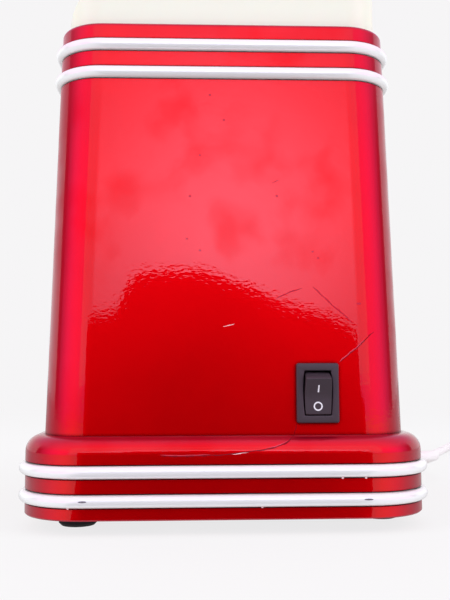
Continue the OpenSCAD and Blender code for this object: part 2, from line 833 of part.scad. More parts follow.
module clamp_screws() {
    color("silver") stand() for (s = [-1, 1])
        translate([-exit_x + s * clamp_screw_x, clamp_y, lead_z + cord_d / 2 + 2]) rotate([180, 0, 0]) screw(4.4, 2.2, 8);
}

module terminal_block() {
    color("ivory") stand() translate([-exit_x, block_y, plate_top]) difference() {
        translate([-8, -5, 0]) cube([16, 10, 10]);
        for (s = [-1, 1]) translate([s * 4, 0, 4]) cylinder(d = 3.6, h = 8);
    }
}

// The cord inside, from the boot through the clamp to the block
module inner_leads() {
    color("whitesmoke") stand() translate([-exit_x, lead_y, lead_z]) rotate([90, 0, 0])
        cylinder(d = cord_d - 0.1, h = lead_y - block_y - 5);
}

// ---------- cord ----------

// Route from the boot's end, as [x, y, z] from the tower's middle on the table
cord_route = [
    [-40, 89.4, 13.5], [-40.7, 94.8, 13.5], [-42.8, 99.9, 13.4], [-46.2, 104.3, 13.2], [-50.6, 107.6, 12.8],
    [-56.5, 110, 12.1], [-64, 111.2, 11], [-73, 112, 9.4], [-82, 112.8, 7.6], [-91, 113.7, 5.7],
    [-100, 114.9, 4], [-109, 117, 3], [-119, 120.8, 2.6], [-130, 125.6, 2.6],
    [-142, 131.7, 2.6], [-157, 139.6, 2.6], [-172, 147.6, 2.6], [-187, 155.5, 2.6],
    [-202, 163.1, 2.6], [-211, 167.6, 2.6], [-220, 172, 2.6]
];
coil_bundle = [2 * cord_d, 2 * cord_d];   // two turns wide, two turns high
coil_centre = [-214.7, 203.5, 0];

// From the coil's last turn to the plug
plug_route = [
    [-205, 234.2, 6.8], [-197, 234.3, 5.8], [-189, 234.2, 4.8], [-181, 234, 4.1]
];

function unit(v) = v / norm(v);
function way(p, i) = unit(p[min(i + 1, len(p) - 1)] - p[max(i - 1, 0)]);

// Tube of round section swept along a list of points
module tube(p, d, sides = 8) {
    n = len(p);
    rings = [for (i = [0 : n - 1])
        let (w = way(p, i), s = unit(cross(w, [0, 0, 1])), u = cross(s, w))
        for (k = [0 : sides - 1]) p[i] + d / 2 * (s * cos(360 * k / sides) + u * sin(360 * k / sides))];
    polyhedron(rings, concat(
        [[for (k = [0 : sides - 1]) k]],
        [for (i = [0 : n - 2], k = [0 : sides - 1])
            let (a = i * sides + k, b = i * sides + (k + 1) % sides) [a, a + sides, b + sides, b]],
        [[for (k = [sides - 1 : -1 : 0]) (n - 1) * sides + k]]));
}

module power_cord() {
    color("white") stand() tube(cord_route, cord_d);
}

module cord_coil() {
    color("white") stand() translate(coil_centre) rotate_extrude($fn = 64)
        translate([(coil_d - coil_bundle[0]) / 2, 0]) square(coil_bundle);
}

module coil_tie() {
    w = 5;
    t = 1;
    color("#333333") stand() translate(coil_centre) rotate(10) translate([coil_d / 2, 0, 0]) difference() {
        translate([0, 0, (coil_bundle[1] + t) / 2])
            cube([coil_bundle[0] + 2 * t + fit, w, coil_bundle[1] + t], center = true);
        translate([0, 0, coil_bundle[1] / 2]) cube([coil_bundle[0] + fit, w + 2, coil_bundle[1]], center = true);
    }
}

module plug_lead() {
    color("white") stand() tube(plug_route, cord_d);
}

// Moulded two-pin plug, resting on its face's rim and on its tail
plug_l = 38;
plug_face_r = 17.6;
plug_rim_s = 28;               // where the face's rim starts, from the tail
plug_tail_r = 4.5;
plug_chamfer = 0.8;
plug_tilt = atan((plug_face_r - plug_tail_r) / (plug_rim_s - plug_chamfer));

module at_plug() {
    tail = plug_route[len(plug_route) - 1];
    translate([tail[0], tail[1], plug_tail_r * cos(plug_tilt) - plug_chamfer * sin(plug_tilt) + 0.02])
        rotate([0, 90 - plug_tilt, 0]) children();
}

module plug_body() {
    color("white") stand() at_plug() difference() {
        rotate_extrude() polygon([
            [0, 0], [plug_tail_r - plug_chamfer, 0], [plug_tail_r, plug_chamfer], [6.5, 8], [11.5, 15], [12.5, 20], [12, 24],
            [plug_face_r - 2, plug_rim_s - 1.5], [plug_face_r, plug_rim_s], [plug_face_r, plug_l - 1],
            [plug_face_r - 1, plug_l], [0, plug_l]]);
        for (s = [-1, 1]) translate([0, s * 9.5, plug_l - 8]) cylinder(d = 4.8, h = 9);
    }
}

module plug_pins() {
    color("gold") stand() at_plug() for (s = [-1, 1]) translate([0, s * 9.5, plug_l - 8]) {
        cylinder(d = 4.8, h = 26);
        translate([0, 0, 26]) cylinder(d1 = 4.8, d2 = 3, h = 1);
    }
}

housing();
tower_band_upper();
tower_band_lower();
skirt_band_upper();
skirt_band_lower();
base_plate();
feet();
base_screws();
top_deck();
deck_screws();
hood();
measuring_cup();
popping_chamber();
heater_can();
mica_boards();
heater_coil();
thermostat();
thermal_fuse();
air_guide();
guide_screws();
motor();
motor_end_cap();
motor_screws();
rectifier_board();
motor_shaft();
impeller();
impeller_nut();
switch_frame();
switch_rocker();
switch_terminals();
strain_relief();
cord_clamp();
clamp_screws();
terminal_block();
inner_leads();
power_cord();
cord_coil();
coil_tie();
plug_lead();
plug_body();
plug_pins();
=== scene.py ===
"""Hot-air popcorn maker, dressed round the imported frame.

Its lacquered housing and bright bands, cream hood and cup, rocker switch, cord, and the wear on its side.
"""
import math

import bmesh
import bpy
from mathutils import Matrix, Vector


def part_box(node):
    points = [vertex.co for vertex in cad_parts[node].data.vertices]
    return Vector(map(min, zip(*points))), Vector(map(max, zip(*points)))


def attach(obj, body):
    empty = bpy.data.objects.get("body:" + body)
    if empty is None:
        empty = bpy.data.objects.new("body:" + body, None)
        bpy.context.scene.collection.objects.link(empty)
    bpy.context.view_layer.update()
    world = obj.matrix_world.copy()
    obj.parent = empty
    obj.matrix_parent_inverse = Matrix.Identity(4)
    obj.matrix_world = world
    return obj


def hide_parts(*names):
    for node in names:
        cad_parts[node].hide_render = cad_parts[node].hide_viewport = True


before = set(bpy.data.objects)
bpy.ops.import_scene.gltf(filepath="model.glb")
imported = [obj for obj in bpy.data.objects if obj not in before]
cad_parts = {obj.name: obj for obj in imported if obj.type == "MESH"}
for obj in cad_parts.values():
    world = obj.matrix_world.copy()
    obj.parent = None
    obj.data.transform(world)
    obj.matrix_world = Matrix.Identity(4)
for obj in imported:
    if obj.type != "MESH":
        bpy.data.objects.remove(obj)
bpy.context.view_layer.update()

MM = 0.001

# ---------------------------------------------------------------- places read from the frame

HOUSING_LOW, HOUSING_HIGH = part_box("housing")
HOOD_LOW, HOOD_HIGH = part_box("hood")
AXIS_Y = (HOUSING_LOW.y + HOUSING_HIGH.y) / 2    # the tower's middle
FOOT_H = HOUSING_LOW.z
RIM_Z = HOUSING_HIGH.z
DECK_Z = HOOD_LOW.z
HOOD_TOP = HOOD_HIGH.z

# ---------------------------------------------------------------- sizes of the moulded forms

SKIRT_H = 28 * MM
SKIRT_OUT = 6.8 * MM           # how far the skirt stands out past the tower's foot
SKIRT_CORNER = 22.6 * MM
SHOULDER_R = 6 * MM            # the skirt's round upper edge
FOOT_EDGE = 0.5 * MM           # bevel on the skirt's lower edge
TOWER_CORNER = 16.6 * MM
DRAFT = math.radians(1.55)     # lean of the tower's faces, so that it leaves its mould
WALL = 2.5 * MM
RIM_R = 1.5 * MM               # the tower's rolled top edge, outside
RIM_INNER = 0.3 * MM           # and inside
CREASE = 0.35 * MM             # fillet between the tower's foot and the shoulder
CREASE_Z = FOOT_H + SKIRT_H
SKIRT_X = HOUSING_HIGH.x
SKIRT_Y = HOUSING_HIGH.y - AXIS_Y

BAND_H = 4.3 * MM
BAND_SEAT = 1.2 * MM           # how deep a band's tongue sits in its groove
TONGUE_PLAY = 0.1 * MM
GROOVE_PLAY = 0.25 * MM
GROOVE_EDGE = 0.2 * MM
CORD_GAP = 17 * MM             # what the skirt's bands leave free at the cord
EXIT_X = -40 * MM              # where the cord leaves, from the middle

HOOD_WALL = 2.2 * MM
HOOD_CORNER = 14 * MM
LIP_H = 21.7 * MM
LIP_R = 15.4 * MM              # the bend that takes the lip's front back
LIP_TURN = math.radians(80)    # and how far it goes round
BEAD_R = 1.9 * MM
VISOR_RISE = 80.3 * MM         # the visor's lower edge above the deck
KNEE_REACH = 11.3 * MM         # where the cheeks' leaning edge ends under it
KNEE_RISE = 68.3 * MM
CROWN_R = 34 * MM
CROWN_BACK_R = 30 * MM
CROWN_FRONT_R = 36 * MM
CROWN_SPREAD = 12 * MM         # how much the corners open out on the way up
CUP_D = 68 * MM
CUP_DEPTH = 38 * MM
CUP_FORWARD = 10 * MM
CUP_WALL = 1.8 * MM
CUP_SEAT = 3.6 * MM            # flat top kept round the bowl, for its rim to rest on
CUP_PLAY = 0.6 * MM

SWITCH_Y = AXIS_Y + 32.4 * MM
SWITCH_Z = FOOT_H + 42.7 * MM
BEZEL = (15 * MM, 21 * MM)     # across, up
BEZEL_T = 1.8 * MM
CASE = (12.8 * MM, 18.8 * MM, 13 * MM)    # across, up, deep
CASE_PLAY = 0.3 * MM
PIVOT_IN = 4 * MM              # the key's pivot behind the bezel's face
ROOM_R = 8.8 * MM              # the opening's round ends, about the pivot
OPENING_W = 10.3 * MM
OPENING_BOW = 0.47 * MM        # its upright sides, and the key's, stand out by this halfway up
KEY_REST = math.radians(12)
KEY_W = 9.5 * MM
KEY_REACH = 7.85 * MM          # half the key's length, where its sides' bow runs out
KEY_MIDDLE = 4.5 * MM          # the valley between its faces, out from the pivot
KEY_END = (5.67 * MM, 6.47 * MM)    # the faces' ends, out from the pivot and up or down from it
PRINT_T = 0.03 * MM
PRINT_SUNK = 0.05 * MM         # how far the print's solid goes down into the key

CORD_D = 5 * MM
COIL_D = 56 * MM
COIL_TURNS = 4 + 166 / 360     # whole turns, and on to where the cord leaves for the plug
COIL_START = math.radians(256)
COIL_STEPS = 26                # points in a turn
COIL_CENTRE = (-214.7, 203.5)
LAYER_Z = (2.6, 7.5)           # the cord's middle in the coil's lower and upper layer, in millimetres

# the cord's route from the strain relief's tip, in millimetres from the tower's middle on the table
CORD_ROUTE = [
    (-40, 89.4, 13.5), (-40.7, 94.8, 13.5), (-42.8, 99.9, 13.4), (-46.2, 104.3, 13.2), (-50.6, 107.6, 12.8),
    (-56.5, 110, 12.1), (-64, 111.2, 11), (-73, 112, 9.4), (-82, 112.8, 7.6), (-91, 113.7, 5.7),
    (-100, 114.9, 4), (-109, 117, 3), (-119, 120.8, 2.6), (-130, 125.6, 2.6),
    (-142, 131.7, 2.6), (-157, 139.6, 2.6), (-172, 147.6, 2.6), (-187, 155.5, 2.6),
    (-202, 163.1, 2.6), (-211, 167.6, 2.6), (-220, 172, 2.6),
]
PLUG_ROUTE = [(-205, 234.2, 6.8), (-197, 234.3, 5.8), (-189, 234.2, 4.8), (-181, 234, 4.1)]


# ---------------------------------------------------------------- making helpers

def lean(z):
    """How far the tower's faces have drawn in at a height."""
    return math.tan(DRAFT) * (z - CREASE_Z)


def tower_half(z):
    """Half the tower's width along X and along Y at a height."""
    return SKIRT_X - SKIRT_OUT - lean(z), SKIRT_Y - SKIRT_OUT - lean(z)


def outline(half_x, half_y, radius):
    """Points round a rectangle with round corners, with a point held 1 mm off each end of each corner."""
    steps = 12
    hold = 1.0 * MM
    points = []
    for quarter, (sx, sy) in enumerate(((1, 1), (-1, 1), (-1, -1), (1, -1))):
        cx, cy = sx * (half_x - radius), sy * (half_y - radius)
        start = math.pi / 2 * quarter
        points.append((cx + radius * math.cos(start) + hold * math.sin(start),
                       cy + radius * math.sin(start) - hold * math.cos(start)))
        for step in range(steps + 1):
            a = start + math.pi / 2 * step / steps
            points.append((cx + radius * math.cos(a), cy + radius * math.sin(a)))
        end = start + math.pi / 2
        points.append((cx + radius * math.cos(end) - hold * math.sin(end),
                       cy + radius * math.sin(end) + hold * math.cos(end)))
    return points


def ring_at(half_x, half_y, radius, z):
    """That outline round the tower's middle, at a height."""
    return [(x, y + AXIS_Y, z) for x, y in outline(half_x, half_y, radius)]


def skin(name, rows, round_rows=True, round_columns=False, caps=()):
    """A mesh skinned over rows of points. Each row, and the stack of rows, may close on itself."""
    mesh = bmesh.new()
    grid = [[mesh.verts.new(p) for p in row] for row in rows]
    count = len(grid[0])
    for i in range(len(grid) if round_columns else len(grid) - 1):
        low, high = grid[i], grid[(i + 1) % len(grid)]
        for k in range(count if round_rows else count - 1):
            mesh.faces.new((low[k], low[(k + 1) % count], high[(k + 1) % count], high[k]))
    for end in caps:
        mesh.faces.new(grid[end] if end else list(reversed(grid[end])))
    bmesh.ops.remove_doubles(mesh, verts=mesh.verts, dist=0.00001)
    bmesh.ops.recalc_face_normals(mesh, faces=mesh.faces)
    return as_object(name, mesh)


def as_object(name, mesh):
    """Puts a finished mesh in the scene."""
    data = bpy.data.meshes.new(name)
    mesh.to_mesh(data)
    mesh.free()
    made = bpy.data.objects.new(name, data)
    bpy.context.scene.collection.objects.link(made)
    return made


def lathe(name, profile, place, steps=96):
    """A turned piece: profile is (radius, height) from end to end of its axis, and place is its frame."""
    rows = []
    for k in range(steps):
        a = 2 * math.pi * k / steps
        rows.append([place @ Vector((r * math.cos(a), r * math.sin(a), h)) for r, h in profile])
    return skin(name, rows, round_rows=False, round_columns=True)


def arc(cx, cy, radius, start, end, steps):
    """Points along an arc, its angles in degrees."""
    turn = [math.radians(start + (end - start) * i / steps) for i in range(steps + 1)]
    return [(cx + radius * math.cos(a), cy + radius * math.sin(a)) for a in turn]


def smooth(piece, angle=35, bevel=0.0, segments=2):
    """Rounds a piece's hard edges and shades it, keeping its flats flat."""
    for face in piece.data.polygons:
        face.use_smooth = True
    piece.data.set_sharp_from_angle(angle=math.radians(angle))
    if bevel:
        edges = piece.modifiers.new("rounded edges", "BEVEL")
        edges.width = bevel
        edges.segments = segments
        edges.limit_method = "ANGLE"
        edges.angle_limit = math.radians(angle)
        edges.harden_normals = False
    flats = piece.modifiers.new("flat faces", "WEIGHTED_NORMAL")
    flats.keep_sharp = not bevel


def dress(piece, material, body=None):
    """Gives a piece its finish and the body it moves with."""
    piece.data.materials.clear()
    piece.data.materials.append(material)
    if body:
        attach(piece, body)


def cut_out(piece, box):
    """Takes a box, [lowest corner, highest corner], out of a piece."""
    low, high = box
    mesh = bmesh.new()
    bmesh.ops.create_cube(mesh, size=1.0)
    bmesh.ops.scale(mesh, vec=high - low, verts=mesh.verts)
    bmesh.ops.translate(mesh, vec=(low + high) / 2, verts=mesh.verts)
    cutter = as_object("cutter", mesh)
    cut = piece.modifiers.new("cut", "BOOLEAN")
    cut.object = cutter
    cut.solver = "EXACT"
    bake(piece)
    bpy.data.objects.remove(cutter)


def bake(piece):
    """Turns a piece's modifiers into its mesh."""
    graph = bpy.context.evaluated_depsgraph_get()
    data = bpy.data.meshes.new_from_object(piece.evaluated_get(graph))
    piece.modifiers.clear()
    piece.data = data


# ---------------------------------------------------------------- finishes

PAINTED_SHADE_REACH = 1.6 * MM          # how far the painted shade reaches out from a seam
FINE_RELIEF = 0.02 * MM        # heights of the patterns that tilt the light
GRAIN_RELIEF = 0.04 * MM
PEEL_RELIEF = 0.018 * MM
SWELL_RELIEF = 0.04 * MM


def tone(code):
    """sRGB hex to a linear colour."""
    parts = [int(code[i:i + 2], 16) / 255 for i in (0, 2, 4)]
    return (*[p / 12.92 if p <= 0.04045 else ((p + 0.055) / 1.055) ** 2.4 for p in parts], 1.0)


def feed(tree, node, values):
    """Gives a node's sockets their values: a number, a colour or another node's output."""
    for key, value in values.items():
        if isinstance(value, bpy.types.NodeSocket):
            tree.links.new(value, node.inputs[key])
        else:
            node.inputs[key].default_value = value


def add(tree, kind, values=None, **settings):
    """Adds one shader node: settings are its options, values what its sockets are fed."""
    made = tree.nodes.new("ShaderNode" + kind)
    for key, value in settings.items():
        setattr(made, key, value)
    feed(tree, made, values or {})
    return made


def blank_tree(made):
    """The emptied shader tree of a new material or world."""
    made.use_nodes = True
    made.node_tree.nodes.clear()
    return made.node_tree


def finish_of(name, **values):
    """A material with a Principled surface whose sockets are fed by name."""
    material = bpy.data.materials.new(name)
    material.use_nodes = True
    tree = material.node_tree
    surface = tree.nodes["Principled BSDF"]
    feed(tree, surface, {key.replace("_", " "): value for key, value in values.items()})
    return material, tree, surface


def per_mm(size):
    """Noise scale at which one feature is about this many millimetres across, in object space."""
    return 1000 / size


def grade(ramp, stops):
    """Spreads colours over a ramp: stops are (place from 0 to 1, sRGB hex)."""
    while len(ramp.elements) < len(stops):
        ramp.elements.new(0.5)
    for element, (place, code) in zip(ramp.elements, stops):
        element.position = place
        element.color = tone(code)


def candy_lacquer():
    """Moulded ABS with a silver base coat and a transparent red over it: deep, sparkling and very glossy."""
    material, tree, surface = finish_of(
        "candy red lacquer", Metallic=0.85, Roughness=0.42, Coat_Weight=1.0, Coat_Roughness=0.03,
        Coat_IOR=1.5, Specular_IOR_Level=0.0)
    place = add(tree, "TexCoord").outputs["Object"]

    # a slanting look goes a longer way through the red: deeper and bluer
    slant = add(tree, "LayerWeight", {"Blend": 0.5}).outputs["Facing"]
    through = add(tree, "ValToRGB", {"Fac": slant})
    grade(through.color_ramp, [
        (0.0, "FF010B"), (0.08, "FF0112"), (0.2, "F00228"), (0.34, "D8022C"), (0.6, "BC0430")])
    # the red lies a little thicker in some places than in others
    depth = add(tree, "TexNoise", {"Vector": place, "Scale": per_mm(38), "Detail": 3.0})
    level = add(tree, "MapRange", {
        "Value": depth.outputs["Fac"], "From Min": 0.35, "From Max": 0.65, "To Min": 0.92})
    # painted shade: ambient occlusion darkens the red where the bands and the skirt meet the wall
    near = add(tree, "AmbientOcclusion", {"Distance": PAINTED_SHADE_REACH}, samples=6)
    painted_seam_shade = add(tree, "MapRange", {
        "Value": near.outputs["AO"], "From Min": 0.5, "From Max": 0.85, "To Min": 0.2})
    shade = add(tree, "Math", {0: level.outputs["Result"], 1: painted_seam_shade.outputs["Result"]}, operation="MULTIPLY")
    base = add(tree, "Mix", {"Factor": 1.0, "A": through.outputs["Color"], "B": shade.outputs[0]},
               data_type="RGBA", blend_type="MULTIPLY")

    # patches wiped with a greasy cloth mirror less
    wiped = add(tree, "Mapping", {"Vector": place, "Location": (0, -13 * MM, -33 * MM)})
    film = add(tree, "TexNoise", {"Vector": wiped.outputs["Vector"], "Scale": per_mm(27), "Detail": 5.0})
    gloss = add(tree, "MapRange", {
        "Value": film.outputs["Fac"], "From Min": 0.5, "From Max": 0.66, "To Min": 1.0, "To Max": 0.55})
    # the painted shade takes gloss off along the seams as well
    coat = add(tree, "Math", {0: gloss.outputs["Result"], 1: painted_seam_shade.outputs["Result"]}, operation="MULTIPLY")

    # the silver's flakes are under 0.1 mm; drawn at 0.35 mm so that they show
    flakes = add(tree, "TexVoronoi", {"Vector": place, "Scale": per_mm(0.35)})
    flake_tilt = add(tree, "Bump", {
        "Height": flakes.outputs["Distance"], "Strength": 0.12, "Distance": FINE_RELIEF})

    # orange peel in the clear coat: ripples 1 mm apart upward and 2 mm apart sideways, on a slower swell
    along = add(tree, "Mapping", {"Vector": place, "Scale": (0.5, 0.5, 1.0)})
    peel = add(tree, "TexNoise", {"Vector": along.outputs["Vector"], "Scale": per_mm(1.0), "Detail": 1.0})
    swell = add(tree, "TexNoise", {"Vector": place, "Scale": per_mm(24), "Detail": 1.0})
    fine = add(tree, "Bump", {"Height": peel.outputs["Fac"], "Strength": 1.0, "Distance": PEEL_RELIEF})
    slow = add(tree, "Bump", {
        "Height": swell.outputs["Fac"], "Strength": 1.0, "Distance": SWELL_RELIEF,
        "Normal": fine.outputs["Normal"]})

    feed(tree, surface, {
        "Base Color": base.outputs["Result"], "Normal": flake_tilt.outputs["Normal"],
        "Coat Weight": coat.outputs[0], "Coat Normal": slow.outputs["Normal"]})
    return material


def bright_plate():
    """Vacuum-plated plastic trim under a clear film: bright, and softer than a mirror."""
    material, tree, surface = finish_of(
        "bright plated trim", Base_Color=tone("F8FAFA"), Metallic=0.3, Coat_Weight=0.5, Coat_Roughness=0.1)
    place = add(tree, "TexCoord").outputs["Object"]
    haze = add(tree, "TexNoise", {"Vector": place, "Scale": per_mm(25), "Detail": 1.0})
    rough = add(tree, "MapRange", {"Value": haze.outputs["Fac"], "To Min": 0.26, "To Max": 0.32})
    feed(tree, surface, {"Roughness": rough.outputs["Result"]})
    return material


def cream_abs():
    """Injection-moulded cream ABS: glossy, with a little light carried inside it."""
    material, tree, surface = finish_of(
        "cream ABS", Roughness=0.28, IOR=1.53, Subsurface_Weight=0.08, Subsurface_Scale=2 * MM)
    place = add(tree, "TexCoord").outputs["Object"]
    cloud = add(tree, "TexNoise", {"Vector": place, "Scale": per_mm(40), "Detail": 3.0})
    base = add(tree, "Mix", {"Factor": cloud.outputs["Fac"], "A": tone("E4E6D5"), "B": tone("E8EADA")},
               data_type="RGBA")
    fine = add(tree, "TexNoise", {"Vector": place, "Scale": per_mm(1.2), "Detail": 2.0})
    skin_bump = add(tree, "Bump", {
        "Height": fine.outputs["Fac"], "Strength": 0.08, "Distance": FINE_RELIEF})
    feed(tree, surface, {"Base Color": base.outputs["Result"], "Normal": skin_bump.outputs["Normal"]})
    return material


def moulded(name, low, high, roughness, grain_mm, depth=0.2, **more):
    """A moulded plastic or rubber: a fine grain from the tool and a slight drift in colour and sheen."""
    material, tree, surface = finish_of(name, **more)
    place = add(tree, "TexCoord").outputs["Object"]
    drift = add(tree, "TexNoise", {"Vector": place, "Scale": per_mm(14), "Detail": 4.0})
    base = add(tree, "Mix", {"Factor": drift.outputs["Fac"], "A": tone(low), "B": tone(high)},
               data_type="RGBA")
    rough = add(tree, "MapRange", {
        "Value": drift.outputs["Fac"], "To Min": roughness - 0.05, "To Max": roughness + 0.05})
    grain = add(tree, "TexNoise", {"Vector": place, "Scale": per_mm(grain_mm), "Detail": 3.0})
    tooth = add(tree, "Bump", {
        "Height": grain.outputs["Fac"], "Strength": depth, "Distance": GRAIN_RELIEF})
    feed(tree, surface, {
        "Base Color": base.outputs["Result"], "Roughness": rough.outputs["Result"],
        "Normal": tooth.outputs["Normal"]})
    return material


def sheet_metal(name, code, roughness, line_mm, stretch=(1.0, 1.0, 14.0)):
    """Plated, ground or spun metal: fine lines left by the roll, the stone or the spinning tool."""
    material, tree, surface = finish_of(name, Base_Color=tone(code), Metallic=1.0)
    place = add(tree, "TexCoord").outputs["Object"]
    along = add(tree, "Mapping", {"Vector": place, "Scale": stretch})
    lines = add(tree, "TexNoise", {
        "Vector": along.outputs["Vector"], "Scale": per_mm(line_mm) / 8, "Detail": 4.0})
    rough = add(tree, "MapRange", {
        "Value": lines.outputs["Fac"], "To Min": roughness - 0.08, "To Max": roughness + 0.1})
    cut = add(tree, "Bump", {"Height": lines.outputs["Fac"], "Strength": 0.15, "Distance": FINE_RELIEF})
    feed(tree, surface, {"Roughness": rough.outputs["Result"], "Normal": cut.outputs["Normal"]})
    return material


LACQUER = candy_lacquer()
PLATE = bright_plate()
CREAM = cream_abs()
# satin and nearly black, with a faint grain
SWITCH_BLACK = moulded("switch nylon", "3A3037", "433840", 0.4, 0.5, 0.12)
# dull black, with a grain that takes the shine off
BLACK_PP = moulded("textured black polypropylene", "161617", "1D1D1E", 0.62, 0.7, 0.4)
# black without sheen
RUBBER = moulded("moulded black rubber", "121212", "191918", 0.8, 0.4, 0.3)
# soft, waxy white
WHITE_PVC = moulded("soft white PVC", "E9E4E6", "F1EDEE", 0.42, 0.6, 0.15)
# milky and a little yellow
NYLON = moulded("natural nylon", "E3DECB", "ECE8D8", 0.45, 0.6)
# brown and half glossy, like old wiring parts
PHENOLIC = moulded("moulded phenolic", "A89468", "B9A67C", 0.5, 0.5)
# golden flakes pressed to a board, scaly and silky
MICA = moulded("pressed mica", "B49A66", "CDB887", 0.4, 1.5, 0.5)
# green film over a weave
BOARD = moulded("coated circuit board", "1F5A36", "276B42", 0.35, 0.8)
# flat, even ink
PRINT = moulded("pad-printed white", "D9D6DE", "E4E2E8", 0.5, 0.4, 0.05)
# bluish grey and evenly dull
ZINC = sheet_metal("zinc-plated steel", "B9BCC0", 0.35, 0.5)
# the same, and warmer
TINPLATE = sheet_metal("tin-plated sheet", "B4B7BA", 0.33, 0.8)
# pale, with rings from the tool
SPUN = sheet_metal("spun aluminium", "CFCFD1", 0.32, 0.5)
# bright, its lines running round the shaft
GROUND = sheet_metal("ground steel", "BDBEC2", 0.22, 0.3, (14.0, 14.0, 1.0))
# dark brownish grey, dull from its first heating
NICHROME = sheet_metal("oxidised heating wire", "5C5853", 0.5, 0.4)
# yellow and lightly polished
BRASS = sheet_metal("plated brass", "C9A35A", 0.3, 0.5)

NODE_FINISH = {
    "base_plate": BLACK_PP, "feet": RUBBER, "base_screws": ZINC, "top_deck": BLACK_PP, "deck_screws": ZINC,
    "popping_chamber": SPUN, "heater_can": TINPLATE, "mica_boards": MICA, "heater_coil": NICHROME,
    "thermostat": PHENOLIC, "thermal_fuse": BRASS, "air_guide": BLACK_PP, "guide_screws": ZINC,
    "motor": TINPLATE, "motor_end_cap": NYLON, "motor_screws": ZINC, "rectifier_board": BOARD,
    "motor_shaft": GROUND, "impeller": BLACK_PP, "impeller_nut": BRASS, "switch_frame": SWITCH_BLACK,
    "switch_rocker": SWITCH_BLACK, "switch_terminals": BRASS, "strain_relief": WHITE_PVC,
    "cord_clamp": BLACK_PP, "clamp_screws": ZINC, "terminal_block": NYLON, "inner_leads": WHITE_PVC,
    "plug_body": WHITE_PVC, "plug_pins": BRASS, "coil_tie": RUBBER,
}


# ---------------------------------------------------------------- camera

def studio_camera():
    """Stands level with the lower half of the +X side, 0.29 m off, and looks a little up."""
    data = bpy.data.cameras.new("studio camera")
    data.sensor_fit = "VERTICAL"
    data.sensor_height = 36
    data.lens = 49.75
    data.clip_start = 10 * MM
    eye = bpy.data.objects.new("studio camera", data)
    eye.location = (0.3613, AXIS_Y - 0.0121, 0.057)
    eye.rotation_euler = [math.radians(a) for a in (94.612, 0.177, 87.70)]
    bpy.context.scene.collection.objects.link(eye)
    bpy.context.scene.camera = eye


studio_camera()


# ---------------------------------------------------------------- cord

def on_stand(points):
    """Points in millimetres from the tower's middle, in the row frame in metres."""
    return [Vector((x * MM, y * MM + AXIS_Y, z * MM)) for x, y, z in points]


def coil_points():
    """The coil's turns, from where the cord runs in to where it leaves for the plug."""
    cx, cy = COIL_CENTRE
    inner, outer = (COIL_D / MM - CORD_D / MM) / 2, (COIL_D / MM + CORD_D / MM) / 2
    low, high = LAYER_Z
    lays = [(outer, low), (inner, low), (inner, high), (outer, high)]
    made = []
    count = int(COIL_STEPS * COIL_TURNS)
    for k in range(1, count + 1):
        t = k / count * COIL_TURNS
        a = COIL_START - 2 * math.pi * t
        turn = min(len(lays) - 1, int(t))
        # over the first sixth of a turn the cord shifts to its new place
        into = min(1.0, max(0.0, (t - turn) * 6))
        ease = into * into * (3 - 2 * into)
        (from_r, from_z), (to_r, to_z) = lays[max(0, turn - 1)], lays[turn]
        r = from_r + (to_r - from_r) * ease
        z = from_z + (to_z - from_z) * ease
        made.append((cx + r * math.cos(a), cy + r * math.sin(a), z))
    return made


def cord():
    """Mains cord in one run, from the boot through the coil to the plug."""
    curve = bpy.data.curves.new("mains_cord", "CURVE")
    curve.dimensions = "3D"
    curve.bevel_depth = CORD_D / 2
    curve.bevel_resolution = 5
    curve.resolution_u = 6
    points = on_stand(CORD_ROUTE + coil_points() + PLUG_ROUTE)
    spline = curve.splines.new("NURBS")
    spline.points.add(len(points) - 1)
    for point, place in zip(spline.points, points):
        point.co = (*place, 1.0)
    spline.order_u = 3
    spline.use_endpoint_u = True
    spline.use_smooth = True
    made = bpy.data.objects.new("mains_cord", curve)
    bpy.context.scene.collection.objects.link(made)
    dress(made, WHITE_PVC, "base")
    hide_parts("power_cord", "cord_coil", "plug_lead")


cord()


# ---------------------------------------------------------------- housing

def band_heights():
    """The height of each band's middle."""
    names = ("tower_band_upper", "tower_band_lower", "skirt_band_upper", "skirt_band_lower")
    return {n: (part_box(n)[0].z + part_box(n)[1].z) / 2 for n in names}


BAND_Z = band_heights()


